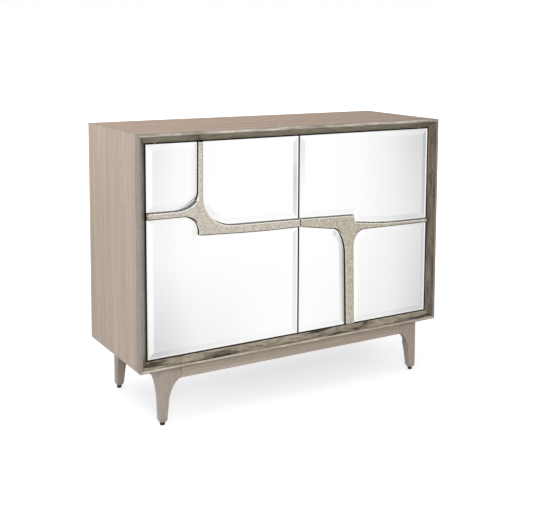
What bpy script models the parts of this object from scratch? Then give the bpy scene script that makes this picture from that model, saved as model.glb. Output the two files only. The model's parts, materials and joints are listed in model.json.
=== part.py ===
"""Two-door cabinet: mitred wooden case, bevelled mirror doors with cast overlays, and a flared base.

Units are metres and +Z is up. The front faces -Y, and the origin is on the floor under the middle.
Left and right are as seen from the front.
"""

import math

import bmesh
import bpy
import numpy as np
from mathutils import Matrix, Vector

# Overall sizes
WIDTH = 1.219
DEPTH = 0.457
CASE_HEIGHT = 0.778
BASE_HEIGHT = 0.196

# Faces that touch on the real cabinet lie this far apart
SEAT_GAP = 0.0003
# A cutter passes the faces that it cuts by this much
OVERRUN = 0.005
# Points nearer than this are welded into one
WELD = 0.000002

# Case
CASE_PANEL = 0.025
BACK_PANEL = 0.006
BACK_INSET = 0.002
RABBET_WIDTH = 0.010
PARTITION = 0.018
STOP_GAP = 0.0006

# Shelves, their pins and the rows of holes for them
SHELF = 0.018
SHELF_RISE = 0.369
SHELF_PLAY = 0.0008
SHELF_SETBACK = 0.076
SHELF_BACK_GAP = 0.004
PIN_PEG_RADIUS = 0.0025
PIN_PEG_LENGTH = 0.0075
PIN_HEAD_RADIUS = 0.0040
PIN_HEAD_LENGTH = 0.0070
PIN_HOLE_PLAY = 0.0003
PIN_FROM_SHELF_END = 0.045
PIN_ROW_PITCH = 0.032
PIN_ROWS_EACH_WAY = 2

# Front frame moulding
FRAME_FACE = 0.031
FRAME_DEPTH = 0.025
FRAME_LIP = 0.0095
FRAME_LIP_EASE = 0.0012
FRAME_SLOPE_DEPTH = 0.022
FRAME_COVE_SAG = 0.0022
FRAME_COVE_STEPS = 6

# Doors
DOOR_GAP = 0.004
DOOR_PANEL = 0.018
DOOR_FACE_DEPTH = 0.022
GLASS = 0.005
GLASS_EDGE = 0.0025
GLASS_BEVEL = 0.022
GLASS_CLEARANCE = 0.0005
OVERLAY_PROUD = 0.0125
OVERLAY_EASE = 0.0015
OVERLAY_END_RUN = 0.006
OVERLAY_END_DROP = 0.009
TURN_STEP = math.radians(9)
LEAST_REACH = 0.001

# Overlay outlines, anticlockwise from the front. Each corner is its place across and up the door, then how
# far its curve reaches back along the edge before it and forward along the edge after it, as shares of the
# door's width, height, height and height.
LEFT_OVERLAY_SHARES = (
    (0.3196, 1.0000, 0.0, 0.0),
    (0.3162, 0.6841, 0.078, 0.120),
    (0.0000, 0.6869, 0.0, 0.0),
    (0.0000, 0.6551, 0.0, 0.0),
    (0.3202, 0.6537, 0.085, 0.080),
    (0.3223, 0.5596, 0.003, 0.003),
    (0.7066, 0.5456, 0.085, 0.085),
    (1.0000, 0.5441, 0.0, 0.0),
    (1.0000, 0.5856, 0.0, 0.0),
    (0.6279, 0.5927, 0.056, 0.056),
    (0.3424, 0.5980, 0.162, 0.148),
    (0.3450, 1.0000, 0.0, 0.0),
)
RIGHT_OVERLAY_SHARES = (
    (0.0000, 0.5856, 0.0, 0.0),
    (0.0000, 0.5444, 0.0, 0.0),
    (0.3359, 0.5023, 0.073, 0.132),
    (0.3523, 0.0000, 0.0, 0.0),
    (0.4087, 0.0000, 0.0, 0.0),
    (0.3953, 0.4953, 0.085, 0.073),
    (1.0000, 0.4901, 0.0, 0.0),
    (1.0000, 0.5109, 0.0, 0.0),
    (0.6253, 0.5148, 0.099, 0.099),
    (0.4061, 0.5367, 0.025, 0.020),
    (0.3974, 0.5752, 0.003, 0.003),
)

# Door pivots
PIVOT_INSET = 0.036
PIVOT_SETBACK = 0.0115
PIVOT_PIN_RADIUS = 0.0025
PIVOT_PIN_DEPTH = 0.011
PIVOT_PLATE_LENGTH = 0.056
PIVOT_PLATE_WIDTH = 0.019
PIVOT_PLATE = 0.005
PIVOT_PLATE_END = 0.020
PIVOT_COLLAR_RADIUS = 0.0055
BUSH_RADIUS = 0.004
BUSH_BORE_PLAY = 0.0003
BUSH_DEPTH = 0.013
BUSH_FLANGE_RADIUS = 0.0065
BUSH_FLANGE = 0.0012

# Magnetic catches and strike plates
CATCH_WIDTH = 0.014
CATCH_DEPTH = 0.016
CATCH_HEIGHT = 0.046
CATCH_ROUND = 0.002
CATCH_DROP = 0.109
STRIKE_WIDTH = 0.012
STRIKE_HEIGHT = 0.038
STRIKE = 0.0012

# Base
BASE_SIDE_INSET = 0.0765
BASE_END_INSET = 0.020
RAIL_HEIGHT = 0.043
RAIL = 0.022
LEG_EAR = 0.076
LEG_POST = 0.036
LEG_ANKLE = 0.033
LEG_ANKLE_DROP = 0.112
LEG_FOOT = 0.0266
LEG_FOOT_CHAMFER = 0.004
LEG_FOOT_CHAMFER_RISE = 0.008
KNEE_PULL_ACROSS = 0.013
KNEE_PULL_UP = 0.040
KNEE_LEAN = 0.005
KNEE_STEPS = 10
BLOCK_REACH = 0.066
BLOCK_HEIGHT = 0.032

# Floor glides
GLIDE_HEIGHT = 0.011
GLIDE_RADIUS = 0.0085
GLIDE_NECK_RADIUS = 0.0065
GLIDE_NECK = 0.0035
GLIDE_EASE = 0.0012
GLIDE_STEM_RADIUS = 0.003
GLIDE_STEM = 0.012

ROUND_STEPS = 24
SMALL_ROUND_STEPS = 12

# Places worked out from the sizes above
FRONT = -DEPTH / 2
BACK = DEPTH / 2
CASE_TOP = BASE_HEIGHT + CASE_HEIGHT
CASE_MIDDLE = BASE_HEIGHT + CASE_HEIGHT / 2
INNER_SIDE = WIDTH / 2 - CASE_PANEL
FLOOR_INSIDE = BASE_HEIGHT + CASE_PANEL
CEILING_INSIDE = CASE_TOP - CASE_PANEL
SHELF_HEIGHT = FLOOR_INSIDE + SHELF_RISE
CATCH_CENTRE = CEILING_INSIDE - CATCH_DROP
BACK_FACE_INSIDE = BACK - BACK_INSET - BACK_PANEL - SEAT_GAP
DOOR_OUTER = WIDTH / 2 - FRAME_FACE - DOOR_GAP
DOOR_INNER = DOOR_GAP / 2
DOOR_WIDTH = DOOR_OUTER - DOOR_INNER
DOOR_BOTTOM = BASE_HEIGHT + FRAME_FACE + DOOR_GAP
DOOR_TOP = CASE_TOP - FRAME_FACE - DOOR_GAP
DOOR_HEIGHT = DOOR_TOP - DOOR_BOTTOM
GLASS_FACE = FRONT + DOOR_FACE_DEPTH
DOOR_PANEL_FACE = GLASS_FACE + GLASS + SEAT_GAP
DOOR_BACK = DOOR_PANEL_FACE + DOOR_PANEL
OVERLAY_FACE = GLASS_FACE - OVERLAY_PROUD
PIVOT_X = DOOR_OUTER - PIVOT_INSET
PIVOT_Y = GLASS_FACE + PIVOT_SETBACK
SHELF_FRONT = FRONT + SHELF_SETBACK
SHELF_BACK = BACK_FACE_INSIDE - SHELF_BACK_GAP
BASE_SIDE = WIDTH / 2 - BASE_SIDE_INSET
BASE_END = DEPTH / 2 - BASE_END_INSET
LEG_HEIGHT = BASE_HEIGHT - GLIDE_HEIGHT

# How a flat outline's own axes lie: it is drawn in its X and Y, and its thickness runs along its Z
FACING_FRONT = Matrix(((1, 0, 0), (0, 0, -1), (0, 1, 0))).to_4x4()
FACING_SIDE = Matrix(((0, 0, 1), (1, 0, 0), (0, 1, 0))).to_4x4()
FACING_UP = Matrix.Identity(4)


def clear_scene():
    for obj in list(bpy.data.objects):
        bpy.data.objects.remove(obj, do_unlink=True)


def new_collection(name):
    made = bpy.data.collections.new(name)
    bpy.context.scene.collection.children.link(made)
    return made


def hex_colour(code):
    """Linear RGBA from an sRGB hex code."""
    parts = [int(code[i : i + 2], 16) / 255 for i in (1, 3, 5)]
    linear = [c / 12.92 if c <= 0.04045 else ((c + 0.055) / 1.055) ** 2.4 for c in parts]
    return (*linear, 1.0)


def finish(name, code, roughness, metallic=0.0):
    made = bpy.data.materials.new(name)
    made.use_nodes = True
    shader = made.node_tree.nodes["Principled BSDF"]
    shader.inputs["Base Color"].default_value = hex_colour(code)
    shader.inputs["Roughness"].default_value = roughness
    shader.inputs["Metallic"].default_value = metallic
    made.diffuse_color = hex_colour(code)
    return made


def place(name, mesh, material, location=(0, 0, 0), turn=(0, 0, 0)):
    """A part of the cabinet: an object in its collection, with its finish."""
    obj = bpy.data.objects.new(name, mesh)
    obj.location = location
    obj.rotation_euler = turn
    mesh.materials.clear()
    mesh.materials.append(material)
    CABINET.objects.link(obj)
    return obj


def as_cutter(obj):
    for owner in list(obj.users_collection):
        owner.objects.unlink(obj)
    CUTTERS.objects.link(obj)
    obj.hide_render = True
    obj.display_type = "WIRE"
    return obj


def cut(obj, cutter, operation="DIFFERENCE"):
    modifier = obj.modifiers.new(f"{operation.title()} {cutter.name}", "BOOLEAN")
    modifier.operation = operation
    modifier.object = cutter
    modifier.solver = "EXACT"


def baked_mesh(obj):
    """The mesh that an object's modifiers make, in its own axes."""
    graph = bpy.context.evaluated_depsgraph_get()
    return bpy.data.meshes.new_from_object(obj.evaluated_get(graph))


def smooth_round(mesh):
    mesh.shade_smooth()
    mesh.set_sharp_from_angle(angle=math.radians(30))


def box_mesh(name, size):
    mesh = bpy.data.meshes.new(name)
    work = bmesh.new()
    bmesh.ops.create_cube(work, size=1, matrix=Matrix.Diagonal((*size, 1)))
    work.to_mesh(mesh)
    work.free()
    return mesh


def box(name, low, high, material):
    """A box between two corners, with its origin at its middle."""
    low = Vector(low)
    high = Vector(high)
    return place(name, box_mesh(name, high - low), material, (low + high) / 2)


def flat_mesh(name, points, thickness, facing):
    """A flat outline with a thickness, centred on the outline's plane."""
    curve = bpy.data.curves.new(name, "CURVE")
    curve.dimensions = "2D"
    curve.fill_mode = "BOTH"
    curve.extrude = thickness / 2
    spline = curve.splines.new("POLY")
    spline.points.add(len(points) - 1)
    spline.points.foreach_set("co", [c for x, y in points for c in (x, y, 0, 1)])
    spline.use_cyclic_u = True
    drawn = bpy.data.objects.new(name, curve)
    CUTTERS.objects.link(drawn)
    mesh = baked_mesh(drawn)
    bpy.data.objects.remove(drawn)
    bpy.data.curves.remove(curve)
    work = bmesh.new()
    work.from_mesh(mesh)
    bmesh.ops.remove_doubles(work, verts=work.verts, dist=WELD)
    bmesh.ops.transform(work, matrix=facing, verts=work.verts)
    bmesh.ops.recalc_face_normals(work, faces=work.faces)
    work.to_mesh(mesh)
    work.free()
    mesh.name = name
    return mesh


def turned_mesh(name, profile, steps, ring=False):
    """A profile of (radius, height) points, outer side from top to bottom, turned about Z."""
    mesh = bpy.data.meshes.new(name)
    ends = [(i, i + 1) for i in range(len(profile) - 1)]
    if ring:
        ends.append((len(profile) - 1, 0))
    mesh.from_pydata([(radius, 0, height) for radius, height in profile], ends, [])
    turning = bpy.data.objects.new(name, mesh)
    CUTTERS.objects.link(turning)
    screw = turning.modifiers.new("Turn", "SCREW")
    screw.steps = steps
    screw.render_steps = steps
    screw.use_merge_vertices = True
    screw.merge_threshold = WELD
    made = baked_mesh(turning)
    bpy.data.objects.remove(turning)
    smooth_round(made)
    return made


def cylinder_mesh(name, radius, low, high, steps=ROUND_STEPS):
    return turned_mesh(name, [(0, high), (radius, high), (radius, low), (0, low)], steps)


def joined(name, first, others, operation="UNION"):
    """One mesh from several by Booleans. The helpers are removed."""
    helpers = [bpy.data.objects.new(f"{name} {i}", mesh) for i, mesh in enumerate((first, *others))]
    for helper in helpers:
        CUTTERS.objects.link(helper)
    for helper in helpers[1:]:
        cut(helpers[0], helper, operation)
    made = baked_mesh(helpers[0])
    for helper in helpers:
        bpy.data.objects.remove(helper)
    return made


def welded(mesh):
    """Merges points that lie on each other, where several saw cuts meet."""
    work = bmesh.new()
    work.from_mesh(mesh)
    bmesh.ops.remove_doubles(work, verts=work.verts, dist=WELD)
    work.to_mesh(mesh)
    work.free()
    return mesh


def moved(mesh, offset):
    mesh.transform(Matrix.Translation(offset))
    return mesh


def bezier(start, first, second, end, steps):
    """Points along a cubic Bezier curve, both ends included."""
    t = np.linspace(0, 1, steps + 1)[:, None]
    return (1 - t) ** 3 * start + 3 * t * (1 - t) ** 2 * first + 3 * t**2 * (1 - t) * second + t**3 * end


# Case and front frame


def mitred_member(name, profile, length, turn, reach, material):
    """One side of a mitred box, its ends cut at 45 degrees, from a profile of (inward, depth) points.

    turn is about Y, 0 for the top, and reach is from the case's middle to the member's outer face.
    """
    outline = [(depth, -inward) for inward, depth in profile]
    mesh = flat_mesh(name, outline, length, FACING_SIDE)
    mitre_gap = SEAT_GAP / math.sqrt(2)
    for vertex in mesh.vertices:
        vertex.co.x = math.copysign(length / 2 + vertex.co.z - mitre_gap, vertex.co.x)
    outward = Matrix.Rotation(turn, 3, "Y") @ Vector((0, 0, reach))
    return place(name, mesh, material, Vector((0, FRONT, CASE_MIDDLE)) + outward, (0, turn, 0))


def cove_profile():
    """The moulding's section: a flat lip with eased corners, then a shallow cove back to the doors."""
    lip = [
        (0, FRAME_LIP_EASE),
        (FRAME_LIP_EASE, 0),
        (FRAME_LIP - FRAME_LIP_EASE, 0),
        (FRAME_LIP, FRAME_LIP_EASE / 2),
    ]
    start = np.array(lip[-1])
    end = np.array((FRAME_FACE, FRAME_SLOPE_DEPTH))
    along = np.linspace(0, 1, FRAME_COVE_STEPS + 1)[1:, None]
    run = end - start
    hollow = np.array((-run[1], run[0])) / np.linalg.norm(run)
    cove = start + along * run + 4 * FRAME_COVE_SAG * along * (1 - along) * hollow
    return [*lip, *map(tuple, cove), (FRAME_FACE, FRAME_DEPTH), (0, FRAME_DEPTH)]


def panel_profile():
    """A case panel's section, with the rabbet for the back."""
    start = FRAME_DEPTH + SEAT_GAP
    rabbet = DEPTH - BACK_INSET - BACK_PANEL - SEAT_GAP
    left = CASE_PANEL - RABBET_WIDTH
    front = [(0, start), (CASE_PANEL, start)]
    return [*front, (CASE_PANEL, rabbet), (left, rabbet), (left, DEPTH), (0, DEPTH)]


def pin_rows():
    """(y, z) of every shelf pin hole, the used ones first."""
    columns = (SHELF_FRONT + PIN_FROM_SHELF_END, SHELF_BACK - PIN_FROM_SHELF_END)
    seat = SHELF_HEIGHT - PIN_HEAD_RADIUS - SEAT_GAP
    steps = sorted(range(-PIN_ROWS_EACH_WAY, PIN_ROWS_EACH_WAY + 1), key=abs)
    return [(y, seat + step * PIN_ROW_PITCH) for step in steps for y in columns]


def bore_pin_holes(obj, x_low, x_high):
    """Cuts the rows of shelf pin holes between two places along X."""
    for i, (y, z) in enumerate(pin_rows()):
        name = f"{obj.name} hole {i}"
        mesh = cylinder_mesh(name, PIN_PEG_RADIUS + PIN_HOLE_PLAY, 0, x_high - x_low, SMALL_ROUND_STEPS)
        hole = place(name, mesh, FINISHES["wood"], (x_low, y, z), (0, math.pi / 2, 0))
        cut(obj, as_cutter(hole))


def build_case():
    wood = FINISHES["wood"]
    leaf = FINISHES["leaf"]
    sides = (
        ("top", 0, WIDTH, CASE_HEIGHT / 2),
        ("right", math.pi / 2, CASE_HEIGHT, WIDTH / 2),
        ("bottom", math.pi, WIDTH, CASE_HEIGHT / 2),
        ("left", -math.pi / 2, CASE_HEIGHT, WIDTH / 2),
    )
    for side, turn, length, reach in sides:
        mitred_member(f"frame_{side}", cove_profile(), length, turn, reach, leaf)
        panel = mitred_member(f"{side}_panel", panel_profile(), length, turn, reach, wood)
        hole_depth = PIN_PEG_LENGTH + PIN_HOLE_PLAY
        if side == "left":
            bore_pin_holes(panel, -INNER_SIDE - hole_depth, -INNER_SIDE + OVERRUN)
        if side == "right":
            bore_pin_holes(panel, INNER_SIDE - OVERRUN, INNER_SIDE + hole_depth)

    back_half = WIDTH / 2 - CASE_PANEL + RABBET_WIDTH - SEAT_GAP
    back_rise = CASE_HEIGHT / 2 - CASE_PANEL + RABBET_WIDTH - SEAT_GAP
    box(
        "back_panel",
        (-back_half, BACK_FACE_INSIDE + SEAT_GAP, CASE_MIDDLE - back_rise),
        (back_half, BACK - BACK_INSET, CASE_MIDDLE + back_rise),
        FINISHES["back"],
    )
    partition = box(
        "centre_partition",
        (-PARTITION / 2, DOOR_BACK + STOP_GAP, FLOOR_INSIDE + SEAT_GAP),
        (PARTITION / 2, BACK_FACE_INSIDE, CEILING_INSIDE - SEAT_GAP),
        wood,
    )
    bore_pin_holes(partition, -PARTITION / 2 - OVERRUN, PARTITION / 2 + OVERRUN)


def build_shelves():
    for side, sign in (("left", -1), ("right", 1)):
        ends = sorted((sign * (PARTITION / 2 + SHELF_PLAY), sign * (INNER_SIDE - SHELF_PLAY)))
        low = (ends[0], SHELF_FRONT, SHELF_HEIGHT)
        high = (ends[1], SHELF_BACK, SHELF_HEIGHT + SHELF)
        box(f"{side}_shelf", low, high, FINISHES["wood"])
        for i, (y, z) in enumerate(pin_rows()[:2]):
            depth = ("front", "rear")[i]
            shelf_pin(f"{side}_outer_{depth}_shelf_pin", sign * INNER_SIDE, -sign, y, z)
            shelf_pin(f"{side}_inner_{depth}_shelf_pin", sign * PARTITION / 2, sign, y, z)


def shelf_pin(name, wall, inward, y, z):
    """A pin whose peg sits in the wall and whose head stands out of it."""
    profile = [
        (0, PIN_HEAD_LENGTH),
        (PIN_HEAD_RADIUS, PIN_HEAD_LENGTH),
        (PIN_HEAD_RADIUS, SEAT_GAP),
        (PIN_PEG_RADIUS, SEAT_GAP),
        (PIN_PEG_RADIUS, -PIN_PEG_LENGTH),
        (0, -PIN_PEG_LENGTH),
    ]
    mesh = turned_mesh(name, profile, SMALL_ROUND_STEPS)
    place(name, mesh, FINISHES["steel"], (wall, y, z), (0, inward * math.pi / 2, 0))


# Doors


def softened(corners, inset=0.0):
    """Points along a closed outline whose corners are curves, moved inwards by inset.

    corners are (x, z, reach before, reach after) and run anticlockwise. A curve is a Bezier between the two
    reaches, with handles that make a quarter ellipse at a square corner.
    """
    places = np.array([corner[:2] for corner in corners])
    reaches = np.array([corner[2:] for corner in corners])
    edges = np.roll(places, -1, axis=0) - places
    ways = edges / np.linalg.norm(edges, axis=1)[:, None]
    inwards = np.stack((-ways[:, 1], ways[:, 0]), axis=1)
    points = []
    for i, corner in enumerate(places):
        before, after = ways[i - 1], ways[i]
        cross = before[0] * after[1] - before[1] * after[0]
        turn = math.atan2(cross, float(before @ after))
        shift = (inwards[i - 1] + inwards[i]) / (1 + float(inwards[i - 1] @ inwards[i]))
        peak = corner + inset * shift
        if not reaches[i].any():
            points.append(peak)
            continue
        eaten = inset * math.tan(turn / 2) if turn > 0 else 0.0
        back, ahead = np.maximum(reaches[i] - eaten, min(LEAST_REACH, *reaches[i]))
        handle = 4 / 3 * math.tan(abs(turn) / 4) / math.tan(abs(turn) / 2)
        steps = max(2, math.ceil(abs(turn) / TURN_STEP))
        start, end = peak - back * before, peak + ahead * after
        first, second = start + handle * back * before, end - handle * ahead * after
        points.extend(bezier(start, first, second, end, steps))
    return points


def plate_mesh(name, corners, clearance, bevel, rise, face, back):
    """A plate cut to an outline, its front edge bevelled: a loft of the outline and the outline set in."""
    rings = [
        [(x, face, z) for x, z in softened(corners, clearance + bevel)],
        [(x, face + rise, z) for x, z in softened(corners, clearance)],
        [(x, back, z) for x, z in softened(corners, clearance)],
    ]
    work = bmesh.new()
    rings = [[work.verts.new(point) for point in ring] for ring in rings]
    work.faces.new(rings[0])
    work.faces.new(rings[-1][::-1])
    for upper, lower in zip(rings, rings[1:]):
        for i in range(len(upper)):
            work.faces.new((upper[i - 1], lower[i - 1], lower[i], upper[i]))
    bmesh.ops.recalc_face_normals(work, faces=work.faces)
    mesh = bpy.data.meshes.new(name)
    work.to_mesh(mesh)
    work.free()
    return mesh


def overlay_corners(shares, left_edge):
    """An overlay's corners in metres, from its shares of the door."""
    corner = np.array((left_edge, DOOR_BOTTOM, 0, 0))
    scale = np.array((DOOR_WIDTH, DOOR_HEIGHT, DOOR_HEIGHT, DOOR_HEIGHT))
    return [tuple(corner + scale * share) for share in np.array(shares)]


def pane_corners(overlay, chosen, door_corners):
    """A mirror's corners: a run of the overlay's, taken the other way round, then corners of the door."""
    shared = [overlay[i] for i in chosen]
    turned_round = [(x, z, ahead, back) for x, z, back, ahead in reversed(shared)]
    return turned_round + [(x, z, 0.0, 0.0) for x, z in door_corners]


def bush_mesh(name):
    """A flanged bush, its flange at the top, seated in the door's edge at height zero."""
    inner = PIVOT_PIN_RADIUS + BUSH_BORE_PLAY
    profile = [
        (BUSH_FLANGE_RADIUS, BUSH_FLANGE + SEAT_GAP),
        (BUSH_FLANGE_RADIUS, SEAT_GAP),
        (BUSH_RADIUS, SEAT_GAP),
        (BUSH_RADIUS, -BUSH_DEPTH),
        (inner, -BUSH_DEPTH),
        (inner, BUSH_FLANGE + SEAT_GAP),
    ]
    return turned_mesh(name, profile, ROUND_STEPS, ring=True)


def pivot_mesh(name, door_gap):
    """A plate with a collar and a pin that hang from it: height zero is the plate's seat on the case.

    door_gap is from that seat to the door's edge.
    """
    plate_low = -SEAT_GAP - PIVOT_PLATE
    plate = box_mesh(name, (PIVOT_PLATE_LENGTH, PIVOT_PLATE_WIDTH, PIVOT_PLATE))
    pin_to_plate_front = PIVOT_Y - FRONT - FRAME_DEPTH - SEAT_GAP
    middle = (
        PIVOT_PLATE_LENGTH / 2 - PIVOT_PLATE_END,
        PIVOT_PLATE_WIDTH / 2 - pin_to_plate_front,
        (plate_low - SEAT_GAP) / 2,
    )
    moved(plate, middle)
    collar_low = -door_gap + 2 * SEAT_GAP + BUSH_FLANGE
    overlap = plate_low + PIVOT_PLATE / 2
    collar = cylinder_mesh(name, PIVOT_COLLAR_RADIUS, collar_low, overlap)
    pin = cylinder_mesh(name, PIVOT_PIN_RADIUS, -door_gap - PIVOT_PIN_DEPTH, overlap)
    return joined(name, plate, (collar, pin))


def door_frame(side):
    """Sign of the side, and the door's left and right edges."""
    sign = -1 if side == "left" else 1
    left, right = sorted((sign * DOOR_INNER, sign * DOOR_OUTER))
    return sign, left, right


def build_door(side, shares, panes):
    sign, left, right = door_frame(side)
    axis = bpy.data.objects.new(f"{side}_door_axis", None)
    axis.location = (sign * PIVOT_X, PIVOT_Y, DOOR_BOTTOM)
    CABINET.objects.link(axis)
    parts = []

    panel_low = (left, DOOR_PANEL_FACE, DOOR_BOTTOM)
    panel_high = (right, DOOR_BACK, DOOR_TOP)
    panel = box(f"{side}_door_panel", panel_low, panel_high, FINISHES["door"])
    parts.append(panel)

    overlay = overlay_corners(shares, left)
    name = f"{side}_overlay"
    seat = DOOR_PANEL_FACE - SEAT_GAP
    mesh = plate_mesh(name, overlay, 0.0, OVERLAY_EASE, OVERLAY_EASE, OVERLAY_FACE, seat)
    casting = place(name, mesh, FINISHES["cast"])
    cut(casting, end_cutter(side))
    parts.append(casting)

    edges = {"left": left, "right": right, "top": DOOR_TOP, "bottom": DOOR_BOTTOM}
    for pane, (chosen, door_corners) in panes.items():
        corners = pane_corners(overlay, chosen, [(edges[x], edges[z]) for x, z in door_corners])
        name = f"{side}_{pane}_mirror"
        fall = GLASS - GLASS_EDGE
        back = GLASS_FACE + GLASS
        glass = plate_mesh(name, corners, GLASS_CLEARANCE, GLASS_BEVEL, fall, GLASS_FACE, back)
        parts.append(place(name, glass, FINISHES["mirror"]))

    for end, edge, turn in (("top", DOOR_TOP, 0.0), ("bottom", DOOR_BOTTOM, math.pi)):
        where = (sign * PIVOT_X, PIVOT_Y, edge)
        name = f"{side} {end} hole"
        hole_mesh = cylinder_mesh(name, BUSH_RADIUS + SEAT_GAP, -BUSH_DEPTH - SEAT_GAP, OVERRUN)
        cut(panel, as_cutter(place(name, hole_mesh, FINISHES["door"], where, (turn, 0, 0))))
        bush = f"{side}_{end}_bush"
        parts.append(place(bush, bush_mesh(bush), FINISHES["brass"], where, (turn, 0, 0)))

    strike_size = (STRIKE_WIDTH, STRIKE, STRIKE_HEIGHT)
    strike_x = sign * (PARTITION / 2 + SEAT_GAP + CATCH_WIDTH / 2)
    strike_centre = (strike_x, DOOR_BACK + SEAT_GAP + STRIKE / 2, CATCH_CENTRE)
    name = f"{side}_strike_plate"
    parts.append(place(name, box_mesh(name, strike_size), FINISHES["steel"], strike_centre))

    for part in parts:
        part.parent = axis
        part.matrix_parent_inverse = Matrix.Translation(-axis.location)


def end_cutter(side):
    """Slopes the overlay's outer end, so that it clears the frame as the door swings."""
    sign = -1 if side == "left" else 1
    lean = OVERLAY_END_RUN / OVERLAY_END_DROP
    corners = (
        (DOOR_OUTER + OVERRUN * lean, OVERLAY_FACE + OVERLAY_END_DROP + OVERRUN),
        (DOOR_OUTER - OVERLAY_END_RUN - OVERRUN * lean, OVERLAY_FACE - OVERRUN),
        (DOOR_OUTER + OVERRUN * lean, OVERLAY_FACE - OVERRUN),
    )
    outline = [(sign * x, y) for x, y in corners]
    name = f"{side} overlay end"
    mesh = flat_mesh(name, outline, DOOR_HEIGHT, FACING_UP)
    return as_cutter(place(name, mesh, FINISHES["cast"], (0, 0, (DOOR_BOTTOM + DOOR_TOP) / 2)))


def build_pivots_and_catches():
    for side, sign in (("left", -1), ("right", 1)):
        ends = (("top", CEILING_INSIDE, DOOR_TOP), ("bottom", FLOOR_INSIDE, DOOR_BOTTOM))
        for end, seat, door_edge in ends:
            name = f"{side}_{end}_pivot"
            mesh = pivot_mesh(name, abs(seat - door_edge))
            if end == "bottom":
                flip(mesh, 2)
            if side == "right":
                flip(mesh, 0)
            smooth_round(mesh)
            place(name, mesh, FINISHES["steel"], (sign * PIVOT_X, PIVOT_Y, seat))
        near = PARTITION / 2 + SEAT_GAP
        spans = sorted((sign * near, sign * (near + CATCH_WIDTH)))
        front = DOOR_BACK + STRIKE + 2 * SEAT_GAP
        low = (spans[0], front, CATCH_CENTRE - CATCH_HEIGHT / 2)
        high = (spans[1], front + CATCH_DEPTH, CATCH_CENTRE + CATCH_HEIGHT / 2)
        catch = box(f"{side}_catch", low, high, FINISHES["plastic"])
        ease = catch.modifiers.new("Ease", "BEVEL")
        ease.width = CATCH_ROUND
        ease.segments = 2
        ease.limit_method = "ANGLE"


def flip(mesh, axis):
    """Mirrors a mesh across the plane square to one of its axes."""
    scale = [1, 1, 1]
    scale[axis] = -1
    mesh.transform(Matrix.Diagonal((*scale, 1)))
    mesh.flip_normals()


# Base


def knee_waste():
    """What is sawn off a leg's inner side: from its ear's end along the curved knee and down the shank."""
    start = np.array((LEG_EAR, -RAIL_HEIGHT))
    end = np.array((LEG_ANKLE, -LEG_ANKLE_DROP))
    first = start - (KNEE_PULL_ACROSS, 0)
    second = end + (KNEE_LEAN, KNEE_PULL_UP)
    return [
        (LEG_EAR + OVERRUN, -RAIL_HEIGHT),
        *map(tuple, bezier(start, first, second, end, KNEE_STEPS)),
        (LEG_FOOT, -LEG_HEIGHT + LEG_FOOT_CHAMFER_RISE),
        (LEG_FOOT - LEG_FOOT_CHAMFER, -LEG_HEIGHT),
        (LEG_FOOT - LEG_FOOT_CHAMFER, -LEG_HEIGHT - OVERRUN),
        (LEG_EAR + OVERRUN, -LEG_HEIGHT - OVERRUN),
    ]


def chamfer_waste():
    """What is sawn off a foot's outer side."""
    beyond = OVERRUN * LEG_FOOT_CHAMFER / LEG_FOOT_CHAMFER_RISE
    return [
        (-beyond, -LEG_HEIGHT + LEG_FOOT_CHAMFER_RISE + OVERRUN),
        (-beyond, -LEG_HEIGHT - OVERRUN),
        (LEG_FOOT_CHAMFER + beyond, -LEG_HEIGHT - OVERRUN),
    ]


def leg_mesh():
    """A leg, its outer edge at the origin and its ears along +X and +Y.

    It is a block with a post in its corner and two ears, sawn to the same outline from both sides.
    """
    plan = [
        (0, 0),
        (LEG_EAR, 0),
        (LEG_EAR, RAIL),
        (LEG_POST, RAIL),
        (LEG_POST, LEG_POST),
        (RAIL, LEG_POST),
        (RAIL, LEG_EAR),
        (0, LEG_EAR),
    ]
    block = flat_mesh("leg", plan, LEG_HEIGHT - SEAT_GAP, FACING_UP)
    moved(block, (0, 0, -(LEG_HEIGHT + SEAT_GAP) / 2))
    cutters = []
    for waste in (knee_waste(), chamfer_waste()):
        length = LEG_EAR + 2 * OVERRUN
        cutters.append(moved(flat_mesh("sawn across", waste, length, FACING_FRONT), (0, LEG_EAR / 2, 0)))
        cutters.append(moved(flat_mesh("sawn along", waste, length, FACING_SIDE), (LEG_EAR / 2, 0, 0)))
    foot = (LEG_FOOT / 2, LEG_FOOT / 2, -LEG_HEIGHT)
    radius = GLIDE_STEM_RADIUS + SEAT_GAP
    stem_hole = cylinder_mesh("stem hole", radius, -OVERRUN, GLIDE_STEM + SEAT_GAP, SMALL_ROUND_STEPS)
    return welded(joined("leg", block, (*cutters, moved(stem_hole, foot)), "DIFFERENCE"))


def glide_mesh():
    """A floor glide with its stem, standing at height zero."""
    profile = [
        (0, GLIDE_HEIGHT + GLIDE_STEM),
        (GLIDE_STEM_RADIUS, GLIDE_HEIGHT + GLIDE_STEM),
        (GLIDE_STEM_RADIUS, GLIDE_HEIGHT - SEAT_GAP),
        (GLIDE_NECK_RADIUS, GLIDE_HEIGHT - SEAT_GAP),
        (GLIDE_NECK_RADIUS, GLIDE_HEIGHT - GLIDE_NECK),
        (GLIDE_RADIUS, GLIDE_HEIGHT - GLIDE_NECK - GLIDE_EASE),
        (GLIDE_RADIUS, GLIDE_EASE),
        (GLIDE_RADIUS - GLIDE_EASE, 0),
        (0, 0),
    ]
    return turned_mesh("glide", profile, ROUND_STEPS)


def block_mesh():
    """A corner block across two rails, its corner cut away to pass the leg's post."""
    near = RAIL + SEAT_GAP
    clip = 2 * (LEG_POST - near) + SEAT_GAP * math.sqrt(2)
    outline = [
        (near + clip, near),
        (near + BLOCK_REACH, near),
        (near, near + BLOCK_REACH),
        (near, near + clip),
    ]
    mesh = flat_mesh("block", outline, BLOCK_HEIGHT, FACING_UP)
    return moved(mesh, (0, 0, -SEAT_GAP - BLOCK_HEIGHT / 2))


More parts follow.
